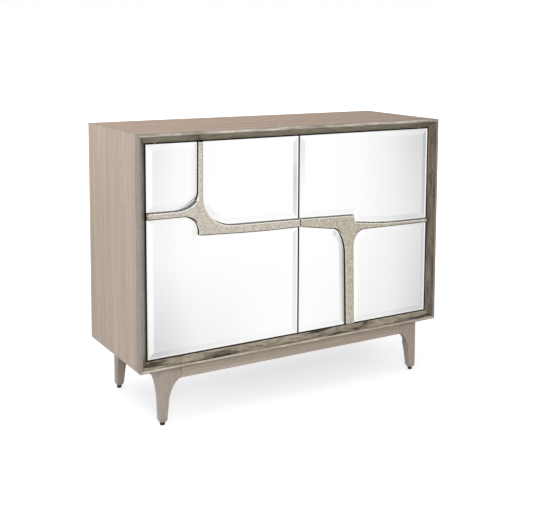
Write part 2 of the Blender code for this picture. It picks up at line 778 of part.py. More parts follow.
def build_base():
    base = FINISHES["base"]
    leg, glide, block = leg_mesh(), glide_mesh(), block_mesh()
    corners = (
        ("front_left", -1, -1, 0.0),
        ("front_right", 1, -1, math.pi / 2),
        ("rear_right", 1, 1, math.pi),
        ("rear_left", -1, 1, -math.pi / 2),
    )
    for name, x_sign, y_sign, turn in corners:
        corner = Vector((x_sign * BASE_SIDE, y_sign * BASE_END, BASE_HEIGHT))
        place(f"{name}_leg", leg.copy(), base, corner, (0, 0, turn))
        place(f"{name}_corner_block", block.copy(), FINISHES["block"], corner, (0, 0, turn))
        foot = Vector((-x_sign * LEG_FOOT / 2, -y_sign * LEG_FOOT / 2, -BASE_HEIGHT))
        place(f"{name}_glide", glide.copy(), FINISHES["plastic"], corner + foot)

    low, high = BASE_HEIGHT - RAIL_HEIGHT, BASE_HEIGHT - SEAT_GAP
    half_long = BASE_SIDE - LEG_EAR - SEAT_GAP
    half_short = BASE_END - LEG_EAR - SEAT_GAP
    for name, sign in (("front", -1), ("rear", 1)):
        faces = sorted((sign * BASE_END, sign * (BASE_END - RAIL)))
        box(f"{name}_rail", (-half_long, faces[0], low), (half_long, faces[1], high), base)
    for name, sign in (("left", -1), ("right", 1)):
        faces = sorted((sign * BASE_SIDE, sign * (BASE_SIDE - RAIL)))
        box(f"{name}_rail", (faces[0], -half_short, low), (faces[1], half_short, high), base)


clear_scene()
CABINET = new_collection("Two-door cabinet")
CUTTERS = new_collection("Cutters")
FINISHES = {
    "wood": finish("Limed veneer", "#B3A294", 0.55),
    "base": finish("Limed solid wood", "#A39584", 0.55),
    "back": finish("Back board", "#8E8275", 0.70),
    "block": finish("Raw hardwood", "#B59A78", 0.75),
    "leaf": finish("Antiqued silver leaf", "#8F8A7A", 0.40, 0.7),
    "door": finish("Painted door board", "#57534C", 0.60),
    "mirror": finish("Silvered glass", "#E6E8E8", 0.03, 1.0),
    "cast": finish("Champagne cast metal", "#BDB4A2", 0.38, 0.8),
    "steel": finish("Zinc plated steel", "#A9ABAD", 0.35, 1.0),
    "brass": finish("Brass", "#B08D57", 0.35, 1.0),
    "plastic": finish("Black moulded plastic", "#141414", 0.50),
}
build_case()
build_shelves()
build_door(
    "left",
    LEFT_OVERLAY_SHARES,
    {
        "upper_outer": ((0, 1, 2), [("left", "top")]),
        "upper_inner": ((8, 9, 10, 11), [("right", "top")]),
        "lower": ((3, 4, 5, 6, 7), [("left", "bottom"), ("right", "bottom")]),
    },
)
build_door(
    "right",
    RIGHT_OVERLAY_SHARES,
    {
        "upper": ((7, 8, 9, 10, 0), [("right", "top"), ("left", "top")]),
        "lower_inner": ((1, 2, 3), [("left", "bottom")]),
        "lower_outer": ((4, 5, 6), [("right", "bottom")]),
    },
)
build_pivots_and_catches()
build_base()
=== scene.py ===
"""Looks of the two-door cabinet: limed veneer case, leafed front moulding, mirror doors and cast overlays.

Each sub-assembly is a class with its sizes in metres. It works its surfaces out as numpy arrays, puts them
into meshes and dresses them. Each finish is a frozen dataclass that wires one procedural material.
The front faces -Y, and left and right are as seen from the front.
"""

import json
import logging
import math
from dataclasses import dataclass
from enum import Enum
from typing import Any, Sequence

import bmesh
import bpy
import numpy as np
from mathutils import Matrix, Vector
from mathutils.geometry import delaunay_2d_cdt

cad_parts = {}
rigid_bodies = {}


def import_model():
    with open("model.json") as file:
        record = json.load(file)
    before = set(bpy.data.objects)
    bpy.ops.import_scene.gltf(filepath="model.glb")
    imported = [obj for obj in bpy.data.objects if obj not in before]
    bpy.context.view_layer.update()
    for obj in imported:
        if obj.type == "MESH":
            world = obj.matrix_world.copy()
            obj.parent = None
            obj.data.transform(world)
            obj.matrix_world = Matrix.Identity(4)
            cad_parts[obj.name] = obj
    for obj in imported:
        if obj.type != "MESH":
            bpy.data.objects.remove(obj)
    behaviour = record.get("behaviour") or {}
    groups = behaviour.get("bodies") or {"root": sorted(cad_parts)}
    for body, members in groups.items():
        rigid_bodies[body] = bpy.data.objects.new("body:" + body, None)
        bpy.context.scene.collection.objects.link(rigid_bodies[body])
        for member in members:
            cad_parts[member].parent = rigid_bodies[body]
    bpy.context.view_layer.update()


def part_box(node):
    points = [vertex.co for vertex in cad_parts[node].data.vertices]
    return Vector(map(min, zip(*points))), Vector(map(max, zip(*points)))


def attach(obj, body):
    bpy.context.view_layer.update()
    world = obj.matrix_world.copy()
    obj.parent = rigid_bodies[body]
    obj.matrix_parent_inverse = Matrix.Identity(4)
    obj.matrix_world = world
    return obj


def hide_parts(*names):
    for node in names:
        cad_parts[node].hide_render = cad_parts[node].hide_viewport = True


LOG = logging.getLogger("cabinet")

MM = 0.001
# Points nearer than this are one point
WELD = 0.002 * MM
# Faces that touch on the real cabinet lie this far apart
SEAT_GAP = 0.3 * MM
# What a Mix node needs to be told to mix colours
COLOURS = {"data_type": "RGBA"}

Pair = tuple[float, float]
Triple = tuple[float, float, float]
Colour = tuple[float, float, float, float]
# What goes into a node: values and outputs by the input's name or number
Values = dict[str | int, Any]
Socket = bpy.types.NodeSocket


# Colours and nodes


def linear(code: str) -> Colour:
    """Turns an sRGB hex colour into a linear one.

    Args:
        code: the colour as "#rrggbb".

    Returns:
        Linear red, green and blue, and an alpha of 1.
    """
    parts = [int(code[i : i + 2], 16) / 255 for i in (1, 3, 5)]
    red, green, blue = (c / 12.92 if c <= 0.04045 else ((c + 0.055) / 1.055) ** 2.4 for c in parts)
    return red, green, blue, 1.0


@dataclass(frozen=True)
class Nodes:
    """A node tree that is being wired."""

    tree: bpy.types.NodeTree

    def fill(self, node: bpy.types.Node, inputs: Values) -> None:
        """Sets or links some inputs of a node.

        Args:
            node: the node.
            inputs: for each input, by name or number, a value to set or an output to link.
        """
        for key, value in inputs.items():
            if isinstance(value, Socket):
                self.tree.links.new(value, node.inputs[key])
            else:
                node.inputs[key].default_value = value

    def add(
        self, kind: str, settings: dict[str, Any] | None = None, inputs: Values | None = None
    ) -> bpy.types.Node:
        """Adds a node with its settings and links.

        Args:
            kind: the node's type name, without ShaderNode at its head.
            settings: properties of the node, and "stops" for a colour ramp's (place, hex colour) pairs.
            inputs: what goes into it, as for fill.

        Returns:
            The new node.
        """
        node = self.tree.nodes.new(f"ShaderNode{kind}")
        for key, value in (settings or {}).items():
            if key == "stops":
                elements = node.color_ramp.elements
                while len(elements) < len(value):
                    elements.new(1.0)
                for element, (place, code) in zip(elements, value):
                    element.position = place
                    element.color = linear(code)
            else:
                setattr(node, key, value)
        self.fill(node, inputs or {})
        return node

    def out(
        self,
        kind: str,
        settings: dict[str, Any] | None = None,
        inputs: Values | None = None,
        output: str | int = 0,
    ) -> Socket:
        """Adds a node that has one output in use.

        Args:
            kind: as for add.
            settings: as for add.
            inputs: as for add.
            output: which output, by name or number.

        Returns:
            That output.
        """
        return self.add(kind, settings, inputs).outputs[output]

    def apart(self, output: str = "Object") -> Any:
        """X, Y and Z of one of the coordinates that a material has."""
        return self.add("SeparateXYZ", None, {0: self.out("TexCoord", output=output)}).outputs


WHITE = linear("#ffffff")


class Axis(Enum):
    """Which way a pattern runs."""

    ACROSS = 0
    DEEP = 1
    UPRIGHT = 2


@dataclass(frozen=True)
class Finish:
    """What every finish has: a name, and one material that is made the first time it is asked for."""

    name: str

    def material(self) -> bpy.types.Material:
        """The finish's material.

        Returns:
            The material, new or as made before.
        """
        found = bpy.data.materials.get(self.name)
        if found is not None:
            return found
        made = bpy.data.materials.new(self.name)
        made.use_nodes = True
        shader: Values = {}
        net = Nodes(made.node_tree)
        self.wire(net, shader)
        net.fill(net.tree.nodes["Principled BSDF"], shader)
        return made

    def wire(self, net: Nodes, shader: Values) -> None:
        """Fills the shader's inputs.

        Args:
            net: the material's nodes.
            shader: the inputs of its shader, to be filled.
        """
        raise NotImplementedError

    def noise(
        self, net: Nodes, sizes: Triple, detail: float, shift: float = 0.0, distortion: float = 0.0
    ) -> Socket:
        """A cloudy pattern in the piece's own coordinates.

        Args:
            net: the material's nodes.
            sizes: how wide one cloud is along X, Y and Z, in metres.
            detail: how many finer octaves it has.
            shift: moves the pattern, so that two of one size differ.
            distortion: how much it swirls.

        Returns:
            The pattern's value, mostly 0.3 to 0.7.
        """
        where = net.out("TexCoord", output="Object")
        scale = tuple(1 / size for size in sizes)
        inputs = {"Vector": where, "Scale": scale, "Location": (shift, shift, shift)}
        mapped = net.out("Mapping", {"vector_type": "POINT"}, inputs)
        inputs = {"Vector": mapped, "Scale": 1.0, "Detail": detail, "Distortion": distortion}
        return net.out("TexNoise", None, inputs, "Fac")

    def overlaid(
        self, net: Nodes, under: Colour | Socket, code: str, marks: Socket, span: Pair, strength: float = 1.0
    ) -> Socket:
        """Lays one colour over another where a pattern is high.

        Args:
            net: the material's nodes.
            under: the colour below, as a value or an output.
            code: the colour above, as "#rrggbb".
            marks: the pattern's value.
            span: the pattern's values where the colour above starts and where it is full.
            strength: its share where it is full.

        Returns:
            The mixed colour.
        """
        inputs = {"Value": marks, "From Min": span[0], "From Max": span[1], "To Max": strength}
        share = net.out("MapRange", None, inputs)
        inputs = {0: share, 6: under, 7: linear(code)}
        return net.out("Mix", COLOURS, inputs, 2)

    def roughen(
        self, net: Nodes, shader: Values, marks: Socket, low: float, high: float, span: Pair = (0.3, 0.7)
    ) -> None:
        """Lets the roughness follow a pattern.

        Args:
            net: the material's nodes.
            shader: the inputs of its shader, to be filled.
            marks: the pattern's value.
            low: the roughness where the pattern is low.
            high: the roughness where it is high.
            span: the pattern's low and high values.
        """
        inputs = {"Value": marks, "From Min": span[0], "From Max": span[1], "To Min": low, "To Max": high}
        shader["Roughness"] = net.out("MapRange", None, inputs)


@dataclass(frozen=True)
class RunningFinish(Finish):
    """A finish whose marks lie along one axis of the piece. Their sizes are (across the run, along it)."""

    run: Axis

    def along(self, across: float, length: float) -> Triple:
        """Pattern sizes along X, Y and Z for marks that lie with the run."""
        width, depth, height = (length if axis is self.run else across for axis in Axis)
        return width, depth, height


@dataclass(frozen=True)
class LimedWood(RunningFinish):
    """Limed and glazed wood under a satin lacquer.

    It gives the eye long soft bands, narrow streaks and short pores, all along the grain, in taupe with a
    faint drift to rose and to grey, and a low even sheen.
    """

    pale: str
    middle: str
    dark: str
    pore: str = "#8c7c70"
    lime: str = "#d2c6b8"
    rose: str = "#c0a798"
    roughness: float = 0.56
    sheen: float = 0.25
    band: Pair = (34 * MM, 900 * MM)
    streak: Pair = (6 * MM, 260 * MM)
    drift: Pair = (90 * MM, 500 * MM)
    # Real pores are 0.3 mm across: they are drawn wider, so that they show
    pore_size: Pair = (1.1 * MM, 16 * MM)
    fleck: Pair = (1.54 * MM, 30 * MM)
    relief: float = 0.25 * MM

    def wire(self, net: Nodes, shader: Values) -> None:
        """Wires bands, streaks, pores and lime into colour, roughness and bump.

        Args:
            net: the material's nodes.
            shader: the inputs of its shader, to be filled.
        """
        bands = self.noise(net, self.along(*self.band), 2.0, 3.1, 0.35)
        streaks = self.noise(net, self.along(*self.streak), 4.0, 7.7, 0.2)
        drift = self.noise(net, self.along(*self.drift), 1.0, 21.0)
        pores = self.noise(net, self.along(*self.pore_size), 1.0, 1.3)
        flecks = self.noise(net, self.along(*self.fleck), 1.0, 11.9)

        figure = net.out("Math", {"operation": "ADD"}, {0: bands, 1: streaks})
        halved = net.out("Math", {"operation": "MULTIPLY"}, {0: figure, 1: 0.5})
        stops = [(0.38, self.dark), (0.5, self.middle), (0.62, self.pale)]
        colour = net.out("ValToRGB", {"stops": stops}, {"Fac": halved})
        layers = (
            (self.rose, drift, (0.42, 0.68), 0.35),
            (self.pore, pores, (0.56, 0.72), 0.42),
            (self.lime, flecks, (0.56, 0.72), 0.5),
        )
        for code, marks, span, strength in layers:
            colour = self.overlaid(net, colour, code, marks, span, strength)
        shader["Base Color"] = colour
        shader["Specular IOR Level"] = self.sheen

        self.roughen(net, shader, streaks, self.roughness - 0.06, self.roughness + 0.08)
        relief = net.out("Math", {"operation": "SUBTRACT"}, {0: streaks, 1: pores})
        bump = {"Height": relief, "Strength": 0.25, "Distance": self.relief}
        shader["Normal"] = net.out("Bump", None, bump)


@dataclass(frozen=True)
class SilverLeaf(RunningFinish):
    """Silver leaf laid in squares over a dark ground, worn through in places, with a glaze that is in part
    painted shade.

    It gives the eye a soft mottled metal with darker clouds, worn spots where the ground shows, a fine line
    where one leaf laps the next, a brown glaze that darkens the hollow near where it meets the lip, in part
    painted shade of the recess, and stains. The glaze and shade are as strong as pooled says. They
    start and are full at the two distances of pool from middle.
    """

    leaf: str
    cloud: str
    ground: str
    metallic: float = 0.55
    roughness: float = 0.42
    worn: float = 0.62
    leaf_side: float = 85 * MM
    lap: float = 1.6 * MM
    pooled: float = 0.0
    middle: float = 0.0
    pool: Pair = (0.0, 0.0)
    stained: float = 0.0
    drawn: float = 1.0
    cloud_size: Pair = (11 * MM, 70 * MM)
    spot: Pair = (4 * MM, 22 * MM)
    wrinkle: Pair = (1.6 * MM, 9 * MM)
    stain: Pair = (30 * MM, 170 * MM)
    lap_waver: float = 6 * MM
    pool_waver: float = 9 * MM
    relief: float = 0.3 * MM

    def drawn_out(self, across: float, length: float) -> Triple:
        """Pattern sizes along X, Y and Z for marks that lie with the run, their length times drawn."""
        return self.along(across, length * self.drawn)

    def wire(self, net: Nodes, shader: Values) -> None:
        """Wires clouds, wear, laps and wrinkles into colour, metal, roughness and bump.

        Args:
            net: the material's nodes.
            shader: the inputs of its shader, to be filled.
        """
        clouds = self.noise(net, self.drawn_out(*self.cloud_size), 3.0, 4.3, 0.3)
        spots = self.noise(net, self.drawn_out(*self.spot), 3.0, 9.1, 0.4)
        wrinkles = self.noise(net, self.along(*self.wrinkle), 3.0, 2.2, 0.6)
        leafed = self.overlaid(net, linear(self.leaf), self.cloud, clouds, (0.36, 0.66))

        inputs = {0: spots, 1: self.lap_waver, 2: net.apart()[self.run.value]}
        ragged = net.out("Math", {"operation": "MULTIPLY_ADD"}, inputs)
        inputs = {0: ragged, 1: self.leaf_side / 2}
        lapped = net.out("Math", {"operation": "PINGPONG"}, inputs)
        inputs = {"Value": lapped, "From Max": self.lap, "To Min": 0.45, "To Max": 0.0}
        seam = net.out("MapRange", None, inputs)
        inputs = {"Value": spots, "From Min": self.worn, "From Max": self.worn + 0.08, "To Max": 0.75}
        rubbed = net.out("MapRange", None, inputs)
        bare = net.out("Math", {"operation": "MAXIMUM"}, {0: seam, 1: rubbed})
        inputs = {0: bare, 6: leafed, 7: linear(self.ground)}
        colour = net.out("Mix", COLOURS, inputs, 2)
        if self.pooled:
            colour = self.glazed(net, colour, clouds)
        if self.stained:
            stains = self.noise(net, self.along(*self.stain), 5.0, 63.0, 0.6)
            colour = self.overlaid(net, colour, self.ground, stains, (0.53, 0.65), self.stained)
        shader["Base Color"] = colour

        inputs = {"Value": bare, "To Min": self.metallic, "To Max": 0.1}
        shader["Metallic"] = net.out("MapRange", None, inputs)
        self.roughen(net, shader, wrinkles, self.roughness - 0.08, self.roughness + 0.12)
        bump = {"Height": wrinkles, "Strength": 0.35, "Distance": self.relief}
        shader["Normal"] = net.out("Bump", None, bump)

    def glazed(self, net: Nodes, colour: Socket, clouds: Socket) -> Socket:
        """Darkens the leaf towards the lip, by how far a place is from the middle of the case: a glaze, in
        part painted shade.

        Args:
            net: the material's nodes.
            colour: the leaf's colour.
            clouds: a pattern that makes the glaze's border ragged.

        Returns:
            The glazed colour.
        """
        across = Axis.ACROSS if self.run is Axis.UPRIGHT else Axis.UPRIGHT
        inputs = {0: net.apart()[across.value], 1: self.middle}
        offset = net.out("Math", {"operation": "SUBTRACT"}, inputs)
        distance = net.out("Math", {"operation": "ABSOLUTE"}, {0: offset})
        inputs = {0: clouds, 1: self.pool_waver, 2: distance}
        ragged = net.out("Math", {"operation": "MULTIPLY_ADD"}, inputs)
        start, full = (reach + self.pool_waver / 2 for reach in self.pool)
        inputs = {"Value": ragged, "From Min": start, "From Max": full, "To Max": self.pooled}
        share = net.out("MapRange", {"interpolation_type": "SMOOTHSTEP"}, inputs)
        inputs = {0: share, 6: colour, 7: linear(self.ground)}
        return net.out("Mix", COLOURS, inputs, 2)


@dataclass(frozen=True)
class CastMetal(Finish):
    """Cast white metal, peened all over and plated a pale champagne, with a dark patina left in its pits.

    It gives the eye a soft metal that breaks up in small cells, paler on their rims and duller in their
    hollows as painted glints and shade, with scattered dark pits. Where it faces up it can be made pale: a
    painted highlight.
    """

    glint: str
    bright: str
    dull: str
    hollow: str
    metallic: float = 0.55
    roughness: float = 0.40
    cell: float = 3.0 * MM
    pits_from: float = 0.60
    pits_to: float = 0.72
    pit_strength: float = 0.6
    # How far faces that look up are made pale: a painted highlight
    rubbed: float = 0.0
    rubbed_tone: str = "#fffbf0"
    drift: float = 7 * MM
    grit: float = 2.2 * MM
    relief: float = 0.4 * MM

    def wire(self, net: Nodes, shader: Values) -> None:
        """Wires the peened cells, the plating's drift and the pits into colour, roughness and bump.

        Args:
            net: the material's nodes.
            shader: the inputs of its shader, to be filled.
        """
        shader["Metallic"] = self.metallic
        where = net.out("TexCoord", output="Object")
        inputs = {"Vector": where, "Scale": 1 / self.cell, "Randomness": 1.0}
        cells = net.out("TexVoronoi", {"feature": "F1"}, inputs, "Distance")
        drift = self.noise(net, (self.drift,) * 3, 3.0, 5.5, 0.4)
        grit = self.noise(net, (self.grit,) * 3, 2.0, 8.2)

        inputs = {0: cells, 1: 0.55, 2: drift}
        share = net.out("Math", {"operation": "MULTIPLY_ADD"}, inputs)
        # The pale and dull stops stand for the glints and shade of the peened facets: painted light
        stops = [(0.36, self.glint), (0.60, self.bright), (0.92, self.dull)]
        colour = net.out("ValToRGB", {"stops": stops}, {"Fac": share})
        # Faces that look up turn a pale, less metallic cream: a painted highlight on the upper rims
        if self.rubbed:
            up = net.apart("Normal")[2]
            inputs = {"Value": up, "From Min": 0.04, "From Max": 0.11, "To Max": self.rubbed}
            worn = net.out("MapRange", None, inputs)
            inputs = {0: worn, 6: colour, 7: linear(self.rubbed_tone)}
            colour = net.out("Mix", COLOURS, inputs, 2)
            inputs = {"Value": worn, "To Min": self.metallic, "To Max": 0.1}
            shader["Metallic"] = net.out("MapRange", None, inputs)
        span = (self.pits_from, self.pits_to)
        colour = self.overlaid(net, colour, self.hollow, grit, span, self.pit_strength)
        shader["Base Color"] = colour
        self.roughen(net, shader, drift, self.roughness - 0.07, self.roughness + 0.12)
        inputs = {0: grit, 1: 0.6, 2: cells}
        relief = net.out("Math", {"operation": "MULTIPLY_ADD"}, inputs)
        bump = {"Height": relief, "Strength": 0.4, "Distance": self.relief}
        shader["Normal"] = net.out("Bump", None, bump)


@dataclass(frozen=True)
class SilveredGlass(Finish):
    """Float glass silvered on its back and polished on its bevel.

    It gives the eye a clear mirror, with a painted shade that greys the bevels that face right and down.
    """

    tint: str = "#ffffff"
    # The grey of the painted shade on bevels that face right and down
    shade: str = "#f6f6f7"
    tilt: Pair = (0.02, 0.11)
    wiped: Triple = (60 * MM, 60 * MM, 110 * MM)

    def wire(self, net: Nodes, shader: Values) -> None:
        """Wires a mirror whose polish varies a little, as wiped glass does.

        Args:
            net: the material's nodes.
            shader: the inputs of its shader, to be filled.
        """
        shader["Metallic"] = 1.0
        # Bevels that face right and down are greyed: painted shade
        facing = net.apart("Normal")
        inputs = {0: facing[2], 1: -0.5, 2: facing[0]}
        painted_shade_share = net.out("Math", {"operation": "MULTIPLY_ADD"}, inputs)
        tone = self.overlaid(net, linear(self.tint), self.shade, painted_shade_share, self.tilt)
        shader["Base Color"] = tone
        wiped = self.noise(net, self.wiped, 2.0, 6.4)
        self.roughen(net, shader, wiped, 0.008, 0.022)


@dataclass(frozen=True)
class GroundGlass(Finish):
    """The ground edge of the mirror in a satin green black: painted shade, so that the gaps beside it look
    dark.
    """

    tint: str = "#141614"
    scratch: float = 1.5 * MM

    def wire(self, net: Nodes, shader: Values) -> None:
        """Wires fine grinding marks into roughness.

        Args:
            net: the material's nodes.
            shader: the inputs of its shader, to be filled.
        """
        shader["Base Color"] = linear(self.tint)
        shader["Specular IOR Level"] = 0.12
        ground = self.noise(net, (self.scratch,) * 3, 2.0, 1.1)
        self.roughen(net, shader, ground, 0.2, 0.4, (0.0, 1.0))


@dataclass(frozen=True)
class PlatedMetal(Finish):
    """Plated or plain small metalwork: smooth, with the faint cloudiness of plating and handling."""

    colour: str
    shade: str
    roughness: float
    cloud: float = 6 * MM

    def wire(self, net: Nodes, shader: Values) -> None:
        """Wires soft clouds into colour and roughness.

        Args:
            net: the material's nodes.
            shader: the inputs of its shader, to be filled.
        """
        shader["Metallic"] = 1.0
        clouds = self.noise(net, (self.cloud,) * 3, 3.0, 2.6)
        stops = [(0.35, self.shade), (0.65, self.colour)]
        shader["Base Color"] = net.out("ValToRGB", {"stops": stops}, {"Fac": clouds})
        self.roughen(net, shader, clouds, self.roughness - 0.06, self.roughness + 0.1)


@dataclass(frozen=True)
class MouldedPlastic(Finish):
    """Black nylon, moulded: near black, satin, with the fine grain of the mould."""

    colour: str = "#151516"
    grain: float = 0.9 * MM
    relief: float = 0.1 * MM

    def wire(self, net: Nodes, shader: Values) -> None:
        """Wires the mould's grain into roughness and bump.

        Args:
            net: the material's nodes.
            shader: the inputs of its shader, to be filled.
        """
        shader["Base Color"] = linear(self.colour)
        grain = self.noise(net, (self.grain,) * 3, 2.0, 3.3)
        self.roughen(net, shader, grain, 0.36, 0.56, (0.0, 1.0))
        bump = {"Height": grain, "Strength": 0.2, "Distance": self.relief}
        shader["Normal"] = net.out("Bump", None, bump)


@dataclass(frozen=True)
class PaintedBoard(Finish):
    """Sprayed fibreboard: one dark colour with the spray's slight orange peel and dust."""

    colour: str
    dust: str
    roughness: float = 0.55
    dust_size: float = 45 * MM
    peel: float = 2.5 * MM
    relief: float = 0.15 * MM

    def wire(self, net: Nodes, shader: Values) -> None:
        """Wires dust into colour and orange peel into bump.

        Args:
            net: the material's nodes.
            shader: the inputs of its shader, to be filled.
        """
        dusty = self.noise(net, (self.dust_size,) * 3, 4.0, 1.7)
        stops = [(0.35, self.colour), (0.75, self.dust)]
        shader["Base Color"] = net.out("ValToRGB", {"stops": stops}, {"Fac": dusty})
        self.roughen(net, shader, dusty, self.roughness - 0.05, self.roughness + 0.12)
        peel = self.noise(net, (self.peel,) * 3, 1.0, 5.9)
        bump = {"Height": peel, "Strength": 0.18, "Distance": self.relief}
        shader["Normal"] = net.out("Bump", None, bump)


# The cabinet's finishes
VENEER_UPRIGHT = LimedWood("Limed veneer upright", Axis.UPRIGHT, "#cebca9", "#c0ad9a", "#b3a08d")
VENEER_ACROSS = LimedWood("Limed veneer across", Axis.ACROSS, "#c2a996", "#b39c8a", "#a18b7a")
BASE_UPRIGHT = LimedWood("Limed solid wood upright", Axis.UPRIGHT, "#c2b6a9", "#b8ab9e", "#ad9f92")
# A darker copy of the wood for the legs on the right: painted shade
BASE_UPRIGHT_SHADED = LimedWood(
    "Limed solid wood upright, deeper", Axis.UPRIGHT, "#baafa5", "#b1a59a", "#a79b90"
)
BASE_ACROSS = LimedWood("Limed solid wood across", Axis.ACROSS, "#d0c2b3", "#bfb1a1", "#ac9d8d")
BASE_DEEP = LimedWood("Limed solid wood deep", Axis.DEEP, "#c2b8af", "#b9aea4", "#b0a59b")
RAW_HARDWOOD = LimedWood(
    "Raw hardwood", Axis.UPRIGHT, "#cbb08c", "#b89b76", "#a3865f", "#8d7150", "#d3bd9c", "#bb9a78", 0.72
)
BACK_BOARD = LimedWood(
    "Back board", Axis.UPRIGHT, "#a89a8b", "#998b7d", "#8a7c6f", "#75695e", "#b5a899", "#a08c7e", 0.66, 0.07
)
# Near black, it also darkens the door edges seen in the gaps: in part painted shade
DOOR_BOARD = PaintedBoard("Painted door board", "#1b1a18", "#2a2825")
# A black sheet behind the hollow, where there is only shade: painted shadow
SHADOW_PAINT = PaintedBoard("Black painted return", "#141311", "#1e1c19", 0.7)
# Faces that look up are made pale on both castings: a painted highlight
CHAMPAGNE = CastMetal("Champagne cast metal", "#fffcf2", "#eae2d6", "#cac0b2", "#8f8574", rubbed=0.95)
# The right casting's copy is warmer, and darker as painted shade
WARM_SHADED_CHAMPAGNE = CastMetal(
    "Warm champagne cast metal", "#fffaea", "#e2dac9", "#c0b6a3", "#857b64", rubbed=0.9
)
# A paler, smoother copy of the metal for walls, chosen by the way they face: painted light
POLISHED_WALL_PAINTED_LIGHT = PlatedMetal("Polished casting wall", "#fdfbf7", "#f3f1ec", 0.36)
# The metal in dark tones, laid on rims by the way they face: painted shade
PAINTED_EDGE_SHADE = CastMetal(
    "Patina on cast metal", "#5c5748", "#3d3a2d", "#2a281e", "#14130e", 0.3, 0.5, 3 * MM, 0.42, 0.62, 0.85
)
MIRROR = SilveredGlass("Silvered glass")
# The glass's edges are near black: painted shade in the gaps
GLASS_EDGE = GroundGlass("Sealed glass edge")
ZINC = PlatedMetal("Zinc plated steel", "#b9bbbd", "#9b9ea1", 0.32)
BRASS = PlatedMetal("Turned brass", "#b8965c", "#9c7c46", 0.30)
PLASTIC = MouldedPlastic("Black moulded nylon")


# Shapes


@dataclass
class Shape:
    """A mesh in the making.

    points is an array of places, faces holds each face's point numbers, and finish says for each face which
    of the piece's finishes it wears.
    """

    points: np.ndarray
    faces: list[list[int]]
    finish: list[int]

    def __add__(self, other: "Shape") -> "Shape":
        """Puts two shapes together.

        Args:
            other: the shape to add.

        Returns:
            Both shapes as one.
        """
        shift = len(self.points)
        faces = [[number + shift for number in face] for face in other.faces]
        points = np.concatenate((self.points, other.points))
        return Shape(points, self.faces + faces, self.finish + other.finish)

    def moved(self, matrix: Matrix) -> "Shape":
        """Turns and shifts the shape.

        Args:
            matrix: 4 by 4, for what is done to each place.

        Returns:
            The shape in its new place.
        """
        array = np.array(matrix)
        points = self.points @ array[:3, :3].T + array[:3, 3]
        return Shape(points, self.faces, self.finish)


def loft(rings: np.ndarray, finish: Sequence[int] | None = None) -> Shape:
    """Joins rings of points into a closed skin: a quad between each two neighbours, and a face on each end.

    Args:
        rings: places as (ring, point round it, xyz).
        finish: the finish number of each band between two rings, 0 if left out.

    Returns:
        The closed shape. Its ends wear the finish of the band beside them.
    """
    count, around = rings.shape[:2]
    here = np.arange(around)
    after = (here + 1) % around
    base = np.arange(count - 1)[:, None] * around
    quads = np.stack((base + here, base + after, base + around + after, base + around + here), axis=-1)
    bands = list(finish or [0] * (count - 1))
    ends = [here[::-1].tolist(), (here + (count - 1) * around).tolist()]
    worn = [band for band in bands for _ in range(around)] + [bands[0], bands[-1]]
    return Shape(rings.reshape(-1, 3), quads.reshape(-1, 4).tolist() + ends, worn)


def grown_box(low: Sequence[float], high: Sequence[float], ease: float, steps: int = 3) -> Shape:
    """A box with rounded edges: a smaller box grown by a ball.

    The point at longitude u and latitude v is the smaller box's corner on that side, plus the ball's radius
    times (cos v cos u, cos v sin u, sin v).

    Args:
        low: the box's lowest corner.
        high: its highest corner.
        ease: the radius of its edges.
        steps: faces across a rounded edge.

    Returns:
        The closed shape.
    """
    quarter = np.linspace(0, math.pi / 2, steps + 1)
    u = np.concatenate([quarter + k * math.pi / 2 for k in range(4)])[None, :]
    v = np.concatenate((quarter - math.pi / 2, quarter))[:, None]
    ball = np.stack(np.broadcast_arrays(np.cos(v) * np.cos(u), np.cos(v) * np.sin(u), np.sin(v)), axis=-1)
    side_x = np.repeat((1, -1, -1, 1), steps + 1)[None, :]
    side_y = np.repeat((1, 1, -1, -1), steps + 1)[None, :]
    side_z = np.repeat((-1, 1), steps + 1)[:, None]
    corner = np.stack(np.broadcast_arrays(side_x, side_y, side_z), axis=-1)
    low_corner, high_corner = np.array(low), np.array(high)
    core = (high_corner - low_corner) / 2 - ease
    return loft((low_corner + high_corner) / 2 + corner * core + ease * ball)


def drawn_in(outline: np.ndarray, inset: float) -> np.ndarray:
    """An outline moved inwards: each corner goes along its mitre, inset times (n0 + n1) / (1 + n0 . n1).

    Args:
        outline: corners as (x, y), anticlockwise.
        inset: how far in.

    Returns:
        As many corners.
    """
    ways = np.roll(outline, -1, axis=0) - outline
    ways /= np.linalg.norm(ways, axis=1)[:, None]
    after = np.stack((-ways[:, 1], ways[:, 0]), axis=1)
    before = np.roll(after, 1, axis=0)
    return outline + inset * (before + after) / (1 + np.sum(before * after, axis=1))[:, None]


def eased_prism(outline: np.ndarray, low: float, high: float, ease: float, steps: int = 3) -> Shape:
    """An upright prism whose rims are rounded: near an end the outline is drawn in by ease (1 - sin a) at
    a depth of ease (1 - cos a), as a goes from 0 to a right angle.

    Args:
        outline: corners as (x, y), anticlockwise.
        low: height of its foot.
        high: height of its top.
        ease: the radius of its rims.
        steps: faces across a rounded rim.

    Returns:
        The closed shape.
    """
    angles = np.linspace(0, math.pi / 2, steps + 1)
    insets = ease * (1 - np.sin(angles))
    depths = ease * (1 - np.cos(angles))
    heights = np.concatenate((low + depths, (high - depths)[::-1]))
    rings = [drawn_in(outline, inset) for inset in (*insets, *insets[::-1])]
    return loft(np.stack([np.column_stack((ring, np.full(len(ring), z))) for ring, z in zip(rings, heights)]))


